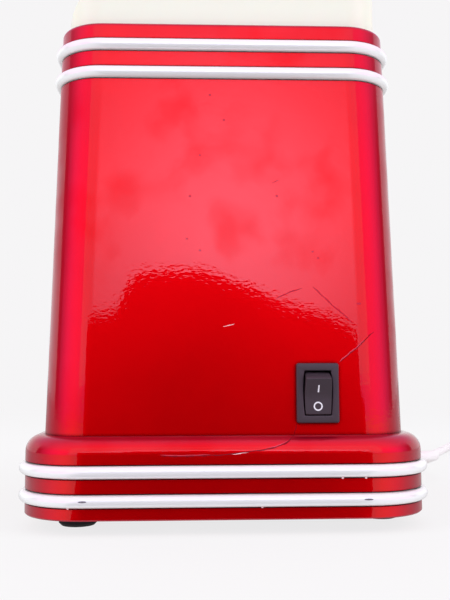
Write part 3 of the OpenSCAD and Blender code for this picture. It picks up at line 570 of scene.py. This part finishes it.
def housing():
    """Tower and skirt in one moulding, with a groove for each band and a rolled top edge."""
    rows = []

    def level(z, inset, skirt=False):
        if skirt:
            rows.append(ring_at(SKIRT_X - inset, SKIRT_Y - inset, SKIRT_CORNER - inset, z))
        else:
            x, y = tower_half(z)
            rows.append(ring_at(x - inset, y - inset, TOWER_CORNER - min(inset, WALL), z))

    def groove(z, skirt):
        half = BAND_H / 2 + GROOVE_PLAY
        edge = GROOVE_EDGE
        for dz, inset in ((-half - edge, 0), (-half, edge), (-half, BAND_SEAT),
                          (half, BAND_SEAT), (half, edge), (half + edge, 0)):
            level(z + dz, inset, skirt)

    # outside, from the skirt's lower edge up to the rim
    level(FOOT_H, WALL, True)
    level(FOOT_H, FOOT_EDGE, True)
    level(FOOT_H + FOOT_EDGE, 0, True)
    groove(BAND_Z["skirt_band_lower"], True)
    groove(BAND_Z["skirt_band_upper"], True)
    shoulder = CREASE_Z - SHOULDER_R
    for a in range(0, 91, 10):
        turn = math.radians(a)
        inset = SHOULDER_R * (1 - math.cos(turn))
        level(shoulder + SHOULDER_R * math.sin(turn), inset, True)
    level(CREASE_Z, -CREASE)
    level(CREASE_Z + 0.1 * MM, 0.0)
    level(CREASE_Z + 1.5 * MM, 0.0)
    groove(BAND_Z["tower_band_lower"], False)
    groove(BAND_Z["tower_band_upper"], False)
    for a in range(0, 91, 15):
        turn = math.radians(a)
        level(RIM_Z - RIM_R + RIM_R * math.sin(turn), RIM_R * (1 - math.cos(turn)))
    # inside, and down again
    level(RIM_Z, WALL - RIM_INNER)
    level(RIM_Z - RIM_INNER, WALL)
    level(DECK_Z - 3 * MM, WALL)
    level(CREASE_Z - 1 * MM, WALL)
    level(CREASE_Z - SHOULDER_R, WALL, True)
    shell = skin("housing_shell", rows, round_columns=True)
    # the switch's opening
    middle = Vector((tower_half(SWITCH_Z)[0], SWITCH_Y, SWITCH_Z))
    room = Vector((8 * MM, CASE[0] / 2 + CASE_PLAY, CASE[1] / 2 + CASE_PLAY))
    cut_out(shell, [middle - room, middle + room])
    smooth(shell, 40)
    dress(shell, LACQUER, "base")
    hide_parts("housing")


housing()


# ---------------------------------------------------------------- bands

def band(node, half_x, half_y, radius, gap=None):
    """A half-round face on a flat tongue, run round the outline. gap leaves out the stretch at the cord."""
    z = BAND_Z[node]
    half = BAND_H / 2
    section = arc(0, 0, half, -90, 90, 18)
    section += [(-BAND_SEAT + TONGUE_PLAY, half), (-BAND_SEAT + TONGUE_PLAY, -half)]
    rows = [ring_at(half_x + out, half_y + out, radius + out, z + up) for out, up in section]
    piece = skin(node + "_trim", rows, round_columns=True)
    if gap:
        cut_out(piece, gap)
    smooth(piece, 50)
    dress(piece, PLATE, "base")
    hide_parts(node)


CORD_WINDOW = (Vector((EXIT_X - CORD_GAP / 2, AXIS_Y + SKIRT_Y - 8 * MM, FOOT_H)),
               Vector((EXIT_X + CORD_GAP / 2, AXIS_Y + SKIRT_Y + 8 * MM, CREASE_Z)))
for name in ("tower_band_upper", "tower_band_lower"):
    band(name, *tower_half(BAND_Z[name]), TOWER_CORNER)
for name in ("skirt_band_upper", "skirt_band_lower"):
    band(name, SKIRT_X, SKIRT_Y, SKIRT_CORNER, CORD_WINDOW)


# ---------------------------------------------------------------- hood

HOOD_X = HOOD_HIGH.x
HOOD_BACK = HOOD_HIGH.y - AXIS_Y
VISOR = AXIS_Y - HOOD_LOW.y        # how far the visor's front stands out
CHEEK = HOOD_BACK - HOOD_CORNER    # the cheeks' front edge at their foot
TIP_Z = DECK_Z + VISOR_RISE
LIP_BEND_Z = DECK_Z + LIP_H - LIP_R
CORNER_STEPS = 14


def crown(z, radius):
    """How far a surface has drawn in on the way round to the flat top."""
    up = max(0.0, z - (HOOD_TOP - radius))
    return radius - math.sqrt(max(0.0, radius * radius - up * up))


# the visor's round front: where its tip stands on the arc, and the arc's middle
BROW_TURN = math.pi - math.asin((TIP_Z - HOOD_TOP) / CROWN_FRONT_R + 1)
BROW_Y = VISOR + CROWN_FRONT_R * math.cos(BROW_TURN)


def visor_front(z):
    """Distance of the visor's round front from the tower's middle."""
    up = max(0.0, z - (HOOD_TOP - CROWN_FRONT_R))
    return BROW_Y + math.sqrt(max(0.0, CROWN_FRONT_R ** 2 - up * up))


def corner_at(x):
    """The outline's corner radius where its side has drawn in to x."""
    return HOOD_CORNER + CROWN_SPREAD * math.sqrt((HOOD_X - x) / CROWN_R)


def hood_row(z, front):
    """Points at one height, from the right side's front round the back to the left side's front."""
    x = HOOD_X - crown(z, CROWN_R)
    back = HOOD_BACK - crown(z, CROWN_BACK_R)
    r = corner_at(x)
    side = [(x, -front + (back - r + front) * k / 12) for k in range(12)]
    corner = [(x - r + px, back - r + py) for px, py in arc(0, 0, r, 0, 90, CORNER_STEPS)]
    half = side + corner
    return half + [(-px, py) for px, py in reversed(half)]


def visor_row(z):
    """The rest of the outline at one height, round the visor's two corners."""
    x = HOOD_X - crown(z, CROWN_R)
    r = corner_at(x)
    f = visor_front(z)
    corner = [(-x + r + px, -f + r + py) for px, py in arc(0, 0, r, 180, 270, CORNER_STEPS)]
    return corner[1:] + [(-px, py) for px, py in reversed(corner[1:])]


def lip_row(z):
    """The lip's outline at one height: both front corners, as far as its bent front, and straight across."""
    bend = max(0.0, z - LIP_BEND_Z)
    front = HOOD_BACK - LIP_R + math.sqrt(LIP_R ** 2 - bend ** 2)
    r = HOOD_CORNER
    last = math.asin(max(0.0, front - CHEEK) / r)
    turns = [last * k / CORNER_STEPS for k in range(1, CORNER_STEPS + 1)]
    corner = [(-HOOD_X + r - r * math.cos(a), -CHEEK - r * math.sin(a)) for a in turns]
    return corner + [(-x, y) for x, y in reversed(corner)]


def clear_of_cup(points):
    """Moves points that lie inside the cup's round seat out to its edge."""
    seat = CUP_D / 2 + CUP_SEAT
    moved = []
    for x, y in points:
        away = math.hypot(x, y + CUP_FORWARD)
        grow = max(1.0, seat / away)
        moved.append((x * grow, (y + CUP_FORWARD) * grow - CUP_FORWARD))
    return moved


def hood_shell():
    """Back, cheeks, crown and visor in one skin, thickened inwards."""
    mesh = bmesh.new()

    def place(points, z):
        return [mesh.verts.new((x, y + AXIS_Y, z)) for x, y in points]

    def bridge(low, high, closed=False):
        count = len(low)
        for k in range(count if closed else count - 1):
            j = (k + 1) % count
            mesh.faces.new((low[k], low[j], high[j], high[k]))

    # closed rows round the lip
    levels = [DECK_Z, DECK_Z + 3 * MM]
    levels += [LIP_BEND_Z + LIP_R * math.sin(LIP_TURN * k / 12) for k in range(13)]
    ring = None
    for z in levels:
        upper = place(hood_row(z, CHEEK) + lip_row(z), z)
        if ring:
            bridge(ring, upper, True)
        ring = upper
    # cheeks and back alone, up to the knee and on to the visor's edge
    foot_z = levels[-1]
    knee_z = DECK_Z + KNEE_RISE
    knee = HOOD_BACK + KNEE_REACH
    reach = visor_front(TIP_Z) - corner_at(HOOD_X - crown(TIP_Z, CROWN_R))
    edge = [(foot_z + (knee_z - foot_z) * k / 12, CHEEK + (knee - CHEEK) * k / 12) for k in range(1, 13)]
    edge += [(knee_z + (TIP_Z - knee_z) * k / 5, knee + (reach - knee) * k / 5) for k in range(1, 6)]
    rows = [ring[:len(hood_row(0, CHEEK))]] + [place(hood_row(z, front), z) for z, front in edge]
    for low, high in zip(rows, rows[1:]):
        bridge(low, high)
    # closed rows again, up the crown and the visor's front
    ring = rows[-1] + place(visor_row(TIP_Z), TIP_Z)
    rise = math.asin((TIP_Z - HOOD_TOP) / CROWN_R + 1)
    levels = [HOOD_TOP - CROWN_R * (1 - math.sin(rise + (math.pi / 2 - rise) * k / 16)) for k in range(1, 17)]
    for z in levels:
        f = visor_front(z)
        r = corner_at(HOOD_X - crown(z, CROWN_R))
        upper = place(clear_of_cup(hood_row(z, f - r) + visor_row(z)), z)
        bridge(ring, upper, True)
        ring = upper
    # flat top, drawn in to the cup's round hole
    hole_r = CUP_D / 2 + CUP_PLAY
    centre = Vector((0, AXIS_Y - CUP_FORWARD, 0))
    outer = [v.co.copy() for v in ring]
    for share, drop in ((0.25, 0), (0.6, 0), (1.0, 0), (1.0, 6 * MM)):
        inner = []
        for co in outer:
            d = Vector((co.x - centre.x, co.y - centre.y, 0)).normalized() * hole_r + centre
            p = co.lerp(Vector((d.x, d.y, HOOD_TOP)), share)
            inner.append(mesh.verts.new((p.x, p.y, HOOD_TOP - drop)))
        bridge(ring, inner, True)
        ring = inner
    bmesh.ops.recalc_face_normals(mesh, faces=mesh.faces)
    shell = as_object("hood_shell", mesh)
    wall = shell.modifiers.new("wall", "SOLIDIFY")
    wall.thickness = HOOD_WALL
    wall.offset = -1.0
    wall.use_even_offset = True
    bake(shell)
    smooth(shell, 40, bevel=0.5 * MM)
    dress(shell, CREAM, "hood")
    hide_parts("hood")


def lip_bead():
    """Round bead along the lip's edge, from cheek to cheek."""
    r = LIP_R - HOOD_WALL / 2
    turn = math.pi - LIP_TURN
    middle = Vector((0, AXIS_Y - HOOD_BACK + LIP_R + r * math.cos(turn), LIP_BEND_Z + r * math.sin(turn)))
    half = HOOD_X - HOOD_WALL / 2
    place = Matrix.Translation(middle) @ Matrix.Rotation(math.pi / 2, 4, "Y")
    bead = lathe("lip_bead", [(0, -half), (BEAD_R, -half), (BEAD_R, half), (0, half)], place, steps=40)
    smooth(bead, 40)
    dress(bead, CREAM, "hood")


hood_shell()
lip_bead()


# ---------------------------------------------------------------- measuring cup

def measuring_cup():
    """Round bowl with a rolled rim and a thumb tab, hung in the hood's top."""
    r = CUP_D / 2 / MM
    low = -CUP_DEPTH / MM
    t = CUP_WALL / MM
    outside = [(0, low), (r - 6, low), (r - 4, low + 0.8), (r - 2.4, low + 3), (r - 0.6, 0)]
    rim = [(r + 5, 0), (r + 6, 0.6), (r + 6, 1.6), (r + 5.2, 2.2), (r - 0.6, 2.2)]
    inside = [(r - t - 0.6, 1.4), (r - t - 2.4, low + 4), (r - 8, low + t), (0, low + t)]
    profile = [(out * MM, up * MM) for out, up in outside + rim + inside]
    place = Matrix.Translation((0, AXIS_Y - CUP_FORWARD, HOOD_TOP))
    cup = lathe("measuring_cup_bowl", profile, place)
    smooth(cup, 50)
    dress(cup, CREAM, "cup")
    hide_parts("measuring_cup")

    # the tab, from inside the rim to its round end
    half = 9
    root = r + 4
    shape = [(half, root)] + arc(0, root + 14, half, 0, 180, 18) + [(-half, root)]
    rows = [[place @ Vector((x * MM, y * MM, z * MM)) for x, y in shape] for z in (0.05, 2.1)]
    tab = skin("measuring_cup_tab", rows, caps=(0, -1))
    smooth(tab, 50, bevel=0.6 * MM)
    dress(tab, CREAM, "cup")


measuring_cup()


# ---------------------------------------------------------------- switch

# frames of the bezel, leaning with the wall, and of the key in it
AT_SWITCH = (Matrix.Translation((tower_half(SWITCH_Z)[0], SWITCH_Y, SWITCH_Z))
             @ Matrix.Rotation(-DRAFT, 4, "Y"))
AT_PIVOT = AT_SWITCH @ Matrix.Translation((BEZEL_T - PIVOT_IN, 0, 0)) @ Matrix.Rotation(KEY_REST, 4, "Y")


def bow_at(z, half_z):
    """How far a bowed side stands out at z, on its way from -half_z to half_z."""
    return OPENING_BOW * (1 - (z / half_z) ** 2)


def upright_loop(x, half_y, half_z, radius, bowed=False):
    """Points round an upright rectangle at depth x, its long sides bowed outward in the opening."""
    points = []
    for sy, sz, start in ((1, -1, -90), (1, 1, 0), (-1, 1, 90), (-1, -1, 180)):
        run = half_z - radius
        points += arc(sy * (half_y - radius), sz * run, radius, start, start + 90, 5)
        if sy != sz:
            points += [(sy * half_y, sz * run * (1 - k / 4)) for k in range(1, 8)]
    if bowed:
        points = [(y + math.copysign(bow_at(z, half_z), y), z) for y, z in points]
    return [AT_SWITCH @ Vector((x, y, z)) for y, z in points]


def switch_bezel():
    """Bezel with soft edges, its bowed opening, and the case behind the wall."""
    half_y = OPENING_W / 2 - OPENING_BOW
    face_z = math.sqrt(ROOM_R ** 2 - PIVOT_IN ** 2)
    # the opening, from deep in the case out to the face, its ends round about the pivot
    rows = [upright_loop(-CASE[2] + 1 * MM, half_y, ROOM_R, 0.3 * MM, True)]
    for depth in (PIVOT_IN, 0.75 * PIVOT_IN, 0.5 * PIVOT_IN, 0.25 * PIVOT_IN, 0.4 * MM):
        reach = math.sqrt(ROOM_R ** 2 - (PIVOT_IN - depth) ** 2)
        rows.append(upright_loop(BEZEL_T - depth, half_y, reach, 0.3 * MM, True))
    # its broken edge
    for depth, wider in ((0.12 * MM, 0.1 * MM), (0, 0.38 * MM)):
        rows.append(upright_loop(BEZEL_T - depth, half_y + wider, face_z + wider, 0.4 * MM, True))
    # the bezel's face, its outer edge and its side
    for depth, inset, radius in ((0, 0.55 * MM, 0.4 * MM), (0.17 * MM, 0.17 * MM, 0.7 * MM),
                                 (0.55 * MM, 0, 0.8 * MM), (BEZEL_T - 0.05 * MM, 0, 0.8 * MM)):
        rows.append(upright_loop(BEZEL_T - depth, BEZEL[0] / 2 - inset, BEZEL[1] / 2 - inset, radius))
    # the case
    for x in (0.05 * MM, -CASE[2]):
        rows.append(upright_loop(x, CASE[0] / 2, CASE[1] / 2, 0.5 * MM))
    piece = skin("switch_bezel", rows, caps=(0, -1))
    smooth(piece, 50)
    dress(piece, SWITCH_BLACK, "base")
    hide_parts("switch_frame")


def switch_key():
    """Rocker key: two faces that meet in a shallow valley, and ends that slope away under the bezel."""
    rise = (KEY_END[0] - KEY_MIDDLE) / KEY_END[1]
    stations = [k * KEY_END[1] / 5 for k in range(-5, 6)]
    profile = [(KEY_MIDDLE + rise * max(abs(w), 0.5 * MM), w) for w in stations]
    # the ends and the underside
    profile += [(1.2 * MM, 7.6 * MM), (-1.4 * MM, 7.4 * MM), (-1.4 * MM, -7.4 * MM), (1.2 * MM, -7.6 * MM)]
    rows = []
    for side in (-1, 1):
        halves = [KEY_W / 2 - OPENING_BOW + bow_at(w, KEY_REACH) for u, w in profile]
        rows.append([AT_PIVOT @ Vector((u, side * half, w)) for (u, w), half in zip(profile, halves)])
    piece = skin("switch_key", rows, caps=(0, -1))
    smooth(piece, 30, bevel=0.3 * MM, segments=3)
    dress(piece, SWITCH_BLACK, "rocker")
    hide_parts("switch_rocker")


def key_mark(name, side, outline_2d, hole_2d=None):
    """A print on the key's upper or lower face: points are (along Y, along the face) in millimetres."""
    slope = side * math.atan2(KEY_END[0] - KEY_MIDDLE, KEY_END[1])
    place = AT_PIVOT @ Matrix.Translation((KEY_MIDDLE, 0, 0)) @ Matrix.Rotation(slope, 4, "Y")
    low, high = -PRINT_SUNK, PRINT_T
    turns = [(outline_2d, high), (outline_2d, low)]
    if hole_2d:
        turns += [(hole_2d, low), (hole_2d, high)]
    rows = [[place @ Vector((out, y * MM, z * MM)) for y, z in points] for points, out in turns]
    piece = skin(name, rows, round_columns=bool(hole_2d), caps=() if hole_2d else (0, -1))
    dress(piece, PRINT, "rocker")


switch_bezel()
switch_key()
key_mark("mark_on", 1, [(-0.3, 1.3), (0.18, 1.3), (0.32, 3.95), (-0.16, 3.95)])
key_mark("mark_off", -1, *[arc(-0.1, -3.7, radius, 0, 352.5, 47) for radius in (1.6, 1.12)])


# ---------------------------------------------------------------- wear, and painted highlights along the crack

MARK_LIFT = 0.03 * MM          # marks lie this far above the surface they are on
STROKE_STEP = 0.7              # length of a stroke's pieces, in millimetres

# deep red and without shine, as light gets lost in it
CRACK = moulded("open crack", "780818", "960E20", 0.6, 0.3, Specular_IOR_Level=0.1)
# painted highlight, pink, beside the crack's dark line
CRACK_HIGHLIGHT = moulded("painted highlight along the crack", "D42444", "DC4A62", 0.5, 0.3)
# the clear coat torn open, darker than what mirrors round it
SCRATCH = moulded("scratched lacquer", "B81028", "CC1E38", 0.6, 0.3, Specular_IOR_Level=0.1)
# pale pink where the red has gone; along the crack's middle the same pink is a painted highlight
PRIMER_AND_GLINT = moulded("bared primer and painted glint", "F4BCC4", "FFE4E6", 0.5, 0.3)
# dull dark grains under the gloss
SPECK = moulded("dust in the lacquer", "BC1A36", "CC2844", 0.6, 0.3, Specular_IOR_Level=0.1)
# grey where the plating is rubbed through
SCUFF = moulded("scuffed plating", "5E5A64", "77727C", 0.5, 0.3)


def wall_x(y, z):
    """How far the housing's +X side stands out at a place given in millimetres from the tower's middle."""
    y, z = abs(y) * MM, z * MM
    if z >= CREASE_Z:
        half_x, half_y = tower_half(z)
        radius = TOWER_CORNER
    else:
        up = max(0.0, z - CREASE_Z + SHOULDER_R)
        inset = SHOULDER_R - math.sqrt(max(0.0, SHOULDER_R ** 2 - up ** 2))
        half_x, half_y, radius = SKIRT_X - inset, SKIRT_Y - inset, SKIRT_CORNER - inset
    past = max(0.0, y - half_y + radius)
    return half_x - radius + math.sqrt(max(0.0, radius ** 2 - past ** 2))


def on_wall(y, z, lift):
    """The place that stands lift above the +X side, square to it, at y and z in millimetres."""
    step = 0.05
    slope_y = (wall_x(y + step, z) - wall_x(y - step, z)) / (2 * step * MM)
    slope_z = (wall_x(y, z + step) - wall_x(y, z - step)) / (2 * step * MM)
    out = Vector((1, -slope_y, -slope_z)).normalized()
    return Vector((wall_x(y, z), y * MM + AXIS_Y, z * MM)) + out * lift


def stroke(name, points, width, material, seed, shift=0.0):
    """A flat stroke of slightly uneven width on the +X side: points are (y, z) in millimetres."""
    fine = []
    for a, b in zip(points, points[1:]):
        count = max(1, round(math.dist(a, b) / STROKE_STEP))
        fine += [Vector(a).lerp(Vector(b), k / count) for k in range(count)]
    fine.append(Vector(points[-1]))
    rows = []
    # it wanders, swells and shrinks a little, and thins out at both ends
    for k, middle in enumerate(fine):
        ahead = (fine[min(k + 1, len(fine) - 1)] - fine[max(k - 1, 0)]).normalized()
        across = Vector((-ahead.y, ahead.x))
        drift = 0.04 * math.sin(seed + 2.3 * k) + 0.06 * math.sin(3 * seed + 0.9 * k)
        taper = min(1.0, 0.2 + min(k, len(fine) - 1 - k) / 4)
        half = width / 2 * taper * (1 + 4 * drift)
        middle = middle + across * (shift + drift)
        rows.append([on_wall(*(middle + across * side * half), MARK_LIFT) for side in (-1, 1)])
    dress(skin(name, rows, round_rows=False), material, "base")


def speck(name, y, z, width, height, material, lift=MARK_LIFT):
    """A spot on the +X side, width by height in millimetres."""
    turns = [k * math.pi / 4 for k in range(8)]
    ring = [(y + width / 2 * math.cos(a), z + height / 2 * math.sin(a)) for a in turns]
    rows = [[on_wall(*place, lift) for place in ring], [on_wall(y, z, lift)] * 8]
    dress(skin(name, rows), material, "base")


# one crack: from the bezel's upper corner, from its lower edge to the shoulder, and on along it
CRACK_UP = [(40.5, 58.4), (42.5, 60.2), (44.5, 61.8), (46.1, 63),
            (48.2, 64.8), (49.8, 66.4), (51.4, 68), (53.3, 69.3)]
CRACK_DOWN = [(24.8, 36.9), (24.7, 35.5), (23.9, 33.4)]
CRACK_ROUND = [(22.6, 32.3), (21.2, 31.2), (19.4, 30.3), (16.5, 29.4), (13.4, 28.7), (9.9, 28.3),
               (7.2, 28), (4.5, 27.7), (1.7, 27.4), (-1, 27), (-5.8, 26.9), (-10.9, 26.7), (-16, 26.6),
               (-22.8, 26.8)]
stroke("crack_above_switch", CRACK_UP, 0.3, CRACK, 2)
# the lighter strokes beside the crack's dark line are painted highlights on its edges
stroke("crack_above_highlight", CRACK_UP[:6], 0.3, CRACK_HIGHLIGHT, 2, shift=0.25)
stroke("crack_below_switch", CRACK_DOWN, 0.3, CRACK, 3)
stroke("crack_on_shoulder", CRACK_DOWN[-1:] + CRACK_ROUND, 0.35, CRACK, 5)
stroke("crack_highlight_near", CRACK_ROUND[1:5], 0.25, CRACK_HIGHLIGHT, 5, shift=-0.3)
# painted highlight on the crack's middle, in the primer's pink
stroke("crack_highlight_middle", CRACK_ROUND[6:9], 0.22, PRIMER_AND_GLINT, 5, shift=0.25)
stroke("crack_highlight_far", CRACK_ROUND[10:14], 0.22, CRACK_HIGHLIGHT, 5, shift=-0.3)
SCRATCH_LEFT = [(18.1, 81.2), (21, 82.8), (23.1, 83.7), (25.3, 84.3), (27.5, 85.1)]
SCRATCH_RIGHT = [(31.3, 85.6), (34.6, 82.5), (39.4, 77.9), (42.2, 75.8), (45.5, 72.4)]
stroke("scratch_left", SCRATCH_LEFT, 0.4, SCRATCH, 4)
stroke("scratch_right", SCRATCH_RIGHT, 0.42, SCRATCH, 6)
stroke("scrape_to_primer", [(-0.9, 71.2), (1.2, 71.8), (3.1, 72.1)], 0.3, PRIMER_AND_GLINT, 7)
stroke("nick", [(17.1, 123.5), (19.6, 124.6)], 0.35, SCRATCH, 8)

# each spot: y, z, width, height
SPOTS = [(-5.4, 156.3, 0.9, 0.7), (-0.3, 146.9, 0.8, 0.8), (-9.1, 133.7, 0.8, 0.6), (-12.7, 118.5, 0.9, 0.7),
         (18.8, 118.7, 0.9, 0.8), (47.9, 79.5, 1.6, 0.8), (-13.8, 102.9, 0.6, 0.5), (-9.1, 98.7, 0.9, 0.6),
         (31.5, 98.3, 0.8, 0.5), (33.5, 96, 0.8, 0.6)]
for k, spot in enumerate(SPOTS):
    speck("dust_%d" % k, *spot, SPECK)
CHIPS = [(-54, 9.35, 0.9, 0.6), (12, 9.35, 0.9, 0.6), (39.7, 18.9, 0.9, 0.6), (47.8, 18.9, 0.9, 0.6)]
for k, spot in enumerate(CHIPS):
    speck("chip_%d" % k, *spot, PRIMER_AND_GLINT)
# on the face of the lowest band
SCUFFS = [(-48.8, 11.9, 3, 0.6), (48.2, 11.9, 3.2, 0.6)]
for k, spot in enumerate(SCUFFS):
    speck("scuff_%d" % k, *spot, SCUFF, lift=BAND_H / 2 + MARK_LIFT)


# ---------------------------------------------------------------- carried-over pieces

for name, material in NODE_FINISH.items():
    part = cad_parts[name]
    for face in part.data.polygons:
        face.use_smooth = True
    part.data.set_sharp_from_angle(angle=math.radians(35))
    dress(part, material)


# ---------------------------------------------------------------- studio

PLAIN_WHITE = tone("F6F5F6")

# each lamp: name, watts, width and height, place, what it is aimed at
LAMPS = [
    ("ceiling", 11, (2.2, 2.2), (0, 0, 2.0), (0, 0, 0)),
    ("left softbox", 13, (1.0, 1.4), (0.6, -1.5, 0.8), (0, 0, 0.15)),
    ("right softbox", 13, (1.0, 1.4), (0.6, 1.5, 0.8), (0, 0, 0.15)),
]


def lamp(name, watts, size, place, target):
    """A soft lamp that lights the object and isn't mirrored in it."""
    data = bpy.data.lights.new(name, "AREA")
    data.shape = "RECTANGLE"
    data.size, data.size_y = size
    data.energy = watts
    made = bpy.data.objects.new(name, data)
    made.location = place
    made.rotation_euler = (Vector(target) - Vector(place)).to_track_quat("-Z", "Y").to_euler()
    made.visible_camera = False
    made.visible_glossy = False
    bpy.context.scene.collection.objects.link(made)


def white_room():
    """Plain white to the camera, a mild light to the object, and a room of its own to what mirrors."""
    world = bpy.data.worlds.new("white studio")
    bpy.context.scene.world = world
    tree = blank_tree(world)
    path = add(tree, "LightPath")
    by_camera = path.outputs["Is Camera Ray"]
    # mirrored round the object: white behind it, then dark screens, then a dim rosy room
    toward = add(tree, "SeparateXYZ", {0: add(tree, "TexCoord").outputs["Generated"]})
    along = add(tree, "MapRange", {"Value": toward.outputs["X"], "From Min": -1.0})
    room = add(tree, "ValToRGB", {"Fac": along.outputs["Result"]})
    grade(room.color_ramp, [
        (0.0, "D2D2D4"), (0.39, "D2D2D4"), (0.41, "200810"), (0.48, "200810"), (0.54, "B05890"),
        (0.7, "FF78D0")])
    # and a pale ceiling
    upward = add(tree, "MapRange", {"Value": toward.outputs["Z"], "From Min": 0.3, "From Max": 0.6})
    mirror = add(tree, "Mix", {
        "Factor": upward.outputs["Result"], "A": room.outputs["Color"], "B": tone("D09CC4")},
        data_type="RGBA")
    seen = add(tree, "Mix", {"Factor": by_camera, "A": mirror.outputs["Result"], "B": PLAIN_WHITE},
               data_type="RGBA")
    power = add(tree, "Mix", {"Factor": by_camera, "A": 1.4, "B": 1.0})
    plain = add(tree, "Background", {"Color": seen.outputs["Result"], "Strength": power.outputs["Result"]})
    fill = add(tree, "Background", {"Color": tone("F4F5F8"), "Strength": 0.8})
    drawn = add(tree, "Math", {0: by_camera, 1: path.outputs["Is Glossy Ray"]}, operation="MAXIMUM")
    mix = add(tree, "MixShader", {0: drawn.outputs[0], 1: fill.outputs[0], 2: plain.outputs[0]})
    add(tree, "OutputWorld", {"Surface": mix.outputs[0]})


def studio():
    """White floor fading into a white backdrop, soft lamps, and a dark card that the lacquer mirrors."""
    bpy.context.scene.view_settings.view_transform = "Standard"
    white_room()

    bpy.ops.mesh.primitive_plane_add(size=14)
    floor = bpy.context.object
    floor.name = "studio_floor"
    floor.data.materials.append(white_sweep())

    card = dark_card()
    for sight in ("camera", "diffuse", "transmission", "shadow"):
        setattr(card, "visible_" + sight, False)

    panel = front_panel()
    panel.visible_camera = False
    for each in LAMPS:
        lamp(*each)


def front_panel():
    """Large softbox in front of the +X side: brightest round its middle, dimmer to its edges."""
    cloth = bpy.data.materials.new("softbox cloth")
    tree = blank_tree(cloth)
    place = add(tree, "TexCoord").outputs["Object"]
    squeeze = add(tree, "Mapping", {
        "Vector": place, "Location": (0, -0.04, 0.44), "Scale": (1.0, 2.2, 1.9)})
    distance = add(tree, "VectorMath", {0: squeeze.outputs["Vector"]}, operation="LENGTH")
    level = add(tree, "MapRange", {"Value": distance.outputs["Value"], "To Min": 3.5, "To Max": 1.0},
                interpolation_type="SMOOTHSTEP")
    light = add(tree, "Emission", {"Color": tone("E8DCFF"), "Strength": level.outputs["Result"]})
    add(tree, "OutputMaterial", {"Surface": light.outputs[0]})
    mesh = bmesh.new()
    corners = [(-0.9, -0.55), (-0.9, 1.0), (0.9, 1.0), (0.9, -0.55)]
    mesh.faces.new([mesh.verts.new((0, y, z)) for y, z in corners])
    panel = as_object("front_softbox", mesh)
    panel.location = (1.5, AXIS_Y + 0.05, 0.66)
    panel.data.materials.append(cloth)
    return panel


def white_sweep():
    """White sweep of paper: its shading goes over into the backdrop's plain white away from the object."""
    paper = bpy.data.materials.new("white paper sweep")
    tree = blank_tree(paper)
    place = add(tree, "TexCoord").outputs["Object"]
    distance = add(tree, "VectorMath", {0: place}, operation="LENGTH")
    fade = add(tree, "MapRange", {"Value": distance.outputs["Value"], "From Min": 0.25, "From Max": 0.8},
               interpolation_type="SMOOTHSTEP")
    # dimmer where the object mirrors it
    mirrored = add(tree, "LightPath").outputs["Is Glossy Ray"]
    level = add(tree, "Mix", {"Factor": mirrored, "A": 1.0, "B": 0.55}).outputs["Result"]
    # near the object most of its white is its own, and the rest takes the shadow
    own = add(tree, "Math", {0: level, 1: 0.86}, operation="MULTIPLY")
    glow = add(tree, "Emission", {"Color": PLAIN_WHITE, "Strength": own.outputs[0]})
    lit = add(tree, "BsdfDiffuse", {"Color": tone("656565")})
    near = add(tree, "AddShader", {0: lit.outputs[0], 1: glow.outputs[0]})
    far = add(tree, "Emission", {"Color": PLAIN_WHITE, "Strength": level})
    mix = add(tree, "MixShader", {0: fade.outputs["Result"], 1: near.outputs[0], 2: far.outputs[0]})
    add(tree, "OutputMaterial", {"Surface": mix.outputs[0]})
    return paper


def dark_card():
    """Card that lies in front of the +X side and stands up behind the camera, with a humped upper edge."""
    felt = finish_of("dark red flocked card", Base_Color=tone("000000"), Roughness=0.95,
                     Specular_IOR_Level=0.0, Emission_Color=tone("B01020"), Emission_Strength=0.06)[0]
    # millimetres from the tower's middle: the edge's points as (y, z), and what the card spans
    hump = [(-150, 112), (-92, 115), (-72, 116), (-64, 132), (-54, 147), (-25, 150), (-6, 149), (6, 146),
            (19, 141), (33, 137), (52, 127), (73, 119), (94, 114), (107, 108), (114, 100), (120, 78),
            (122, 57), (165, 50)]
    near, far = 82, 400
    low = 0.5
    mesh = bmesh.new()

    def corner(x, y, z):
        return mesh.verts.new((x * MM, y * MM + AXIS_Y, z * MM))

    upright = [corner(far, y, z) for y, z in hump + [(165, low), (-150, low)]]
    mesh.faces.new(upright)
    lying = [corner(x, y, low) for x, y in ((near, -60), (near, 50), (far, 165), (far, -150))]
    mesh.faces.new(lying)
    card = as_object("dark_card", mesh)
    card.data.materials.append(felt)
    return card


studio()
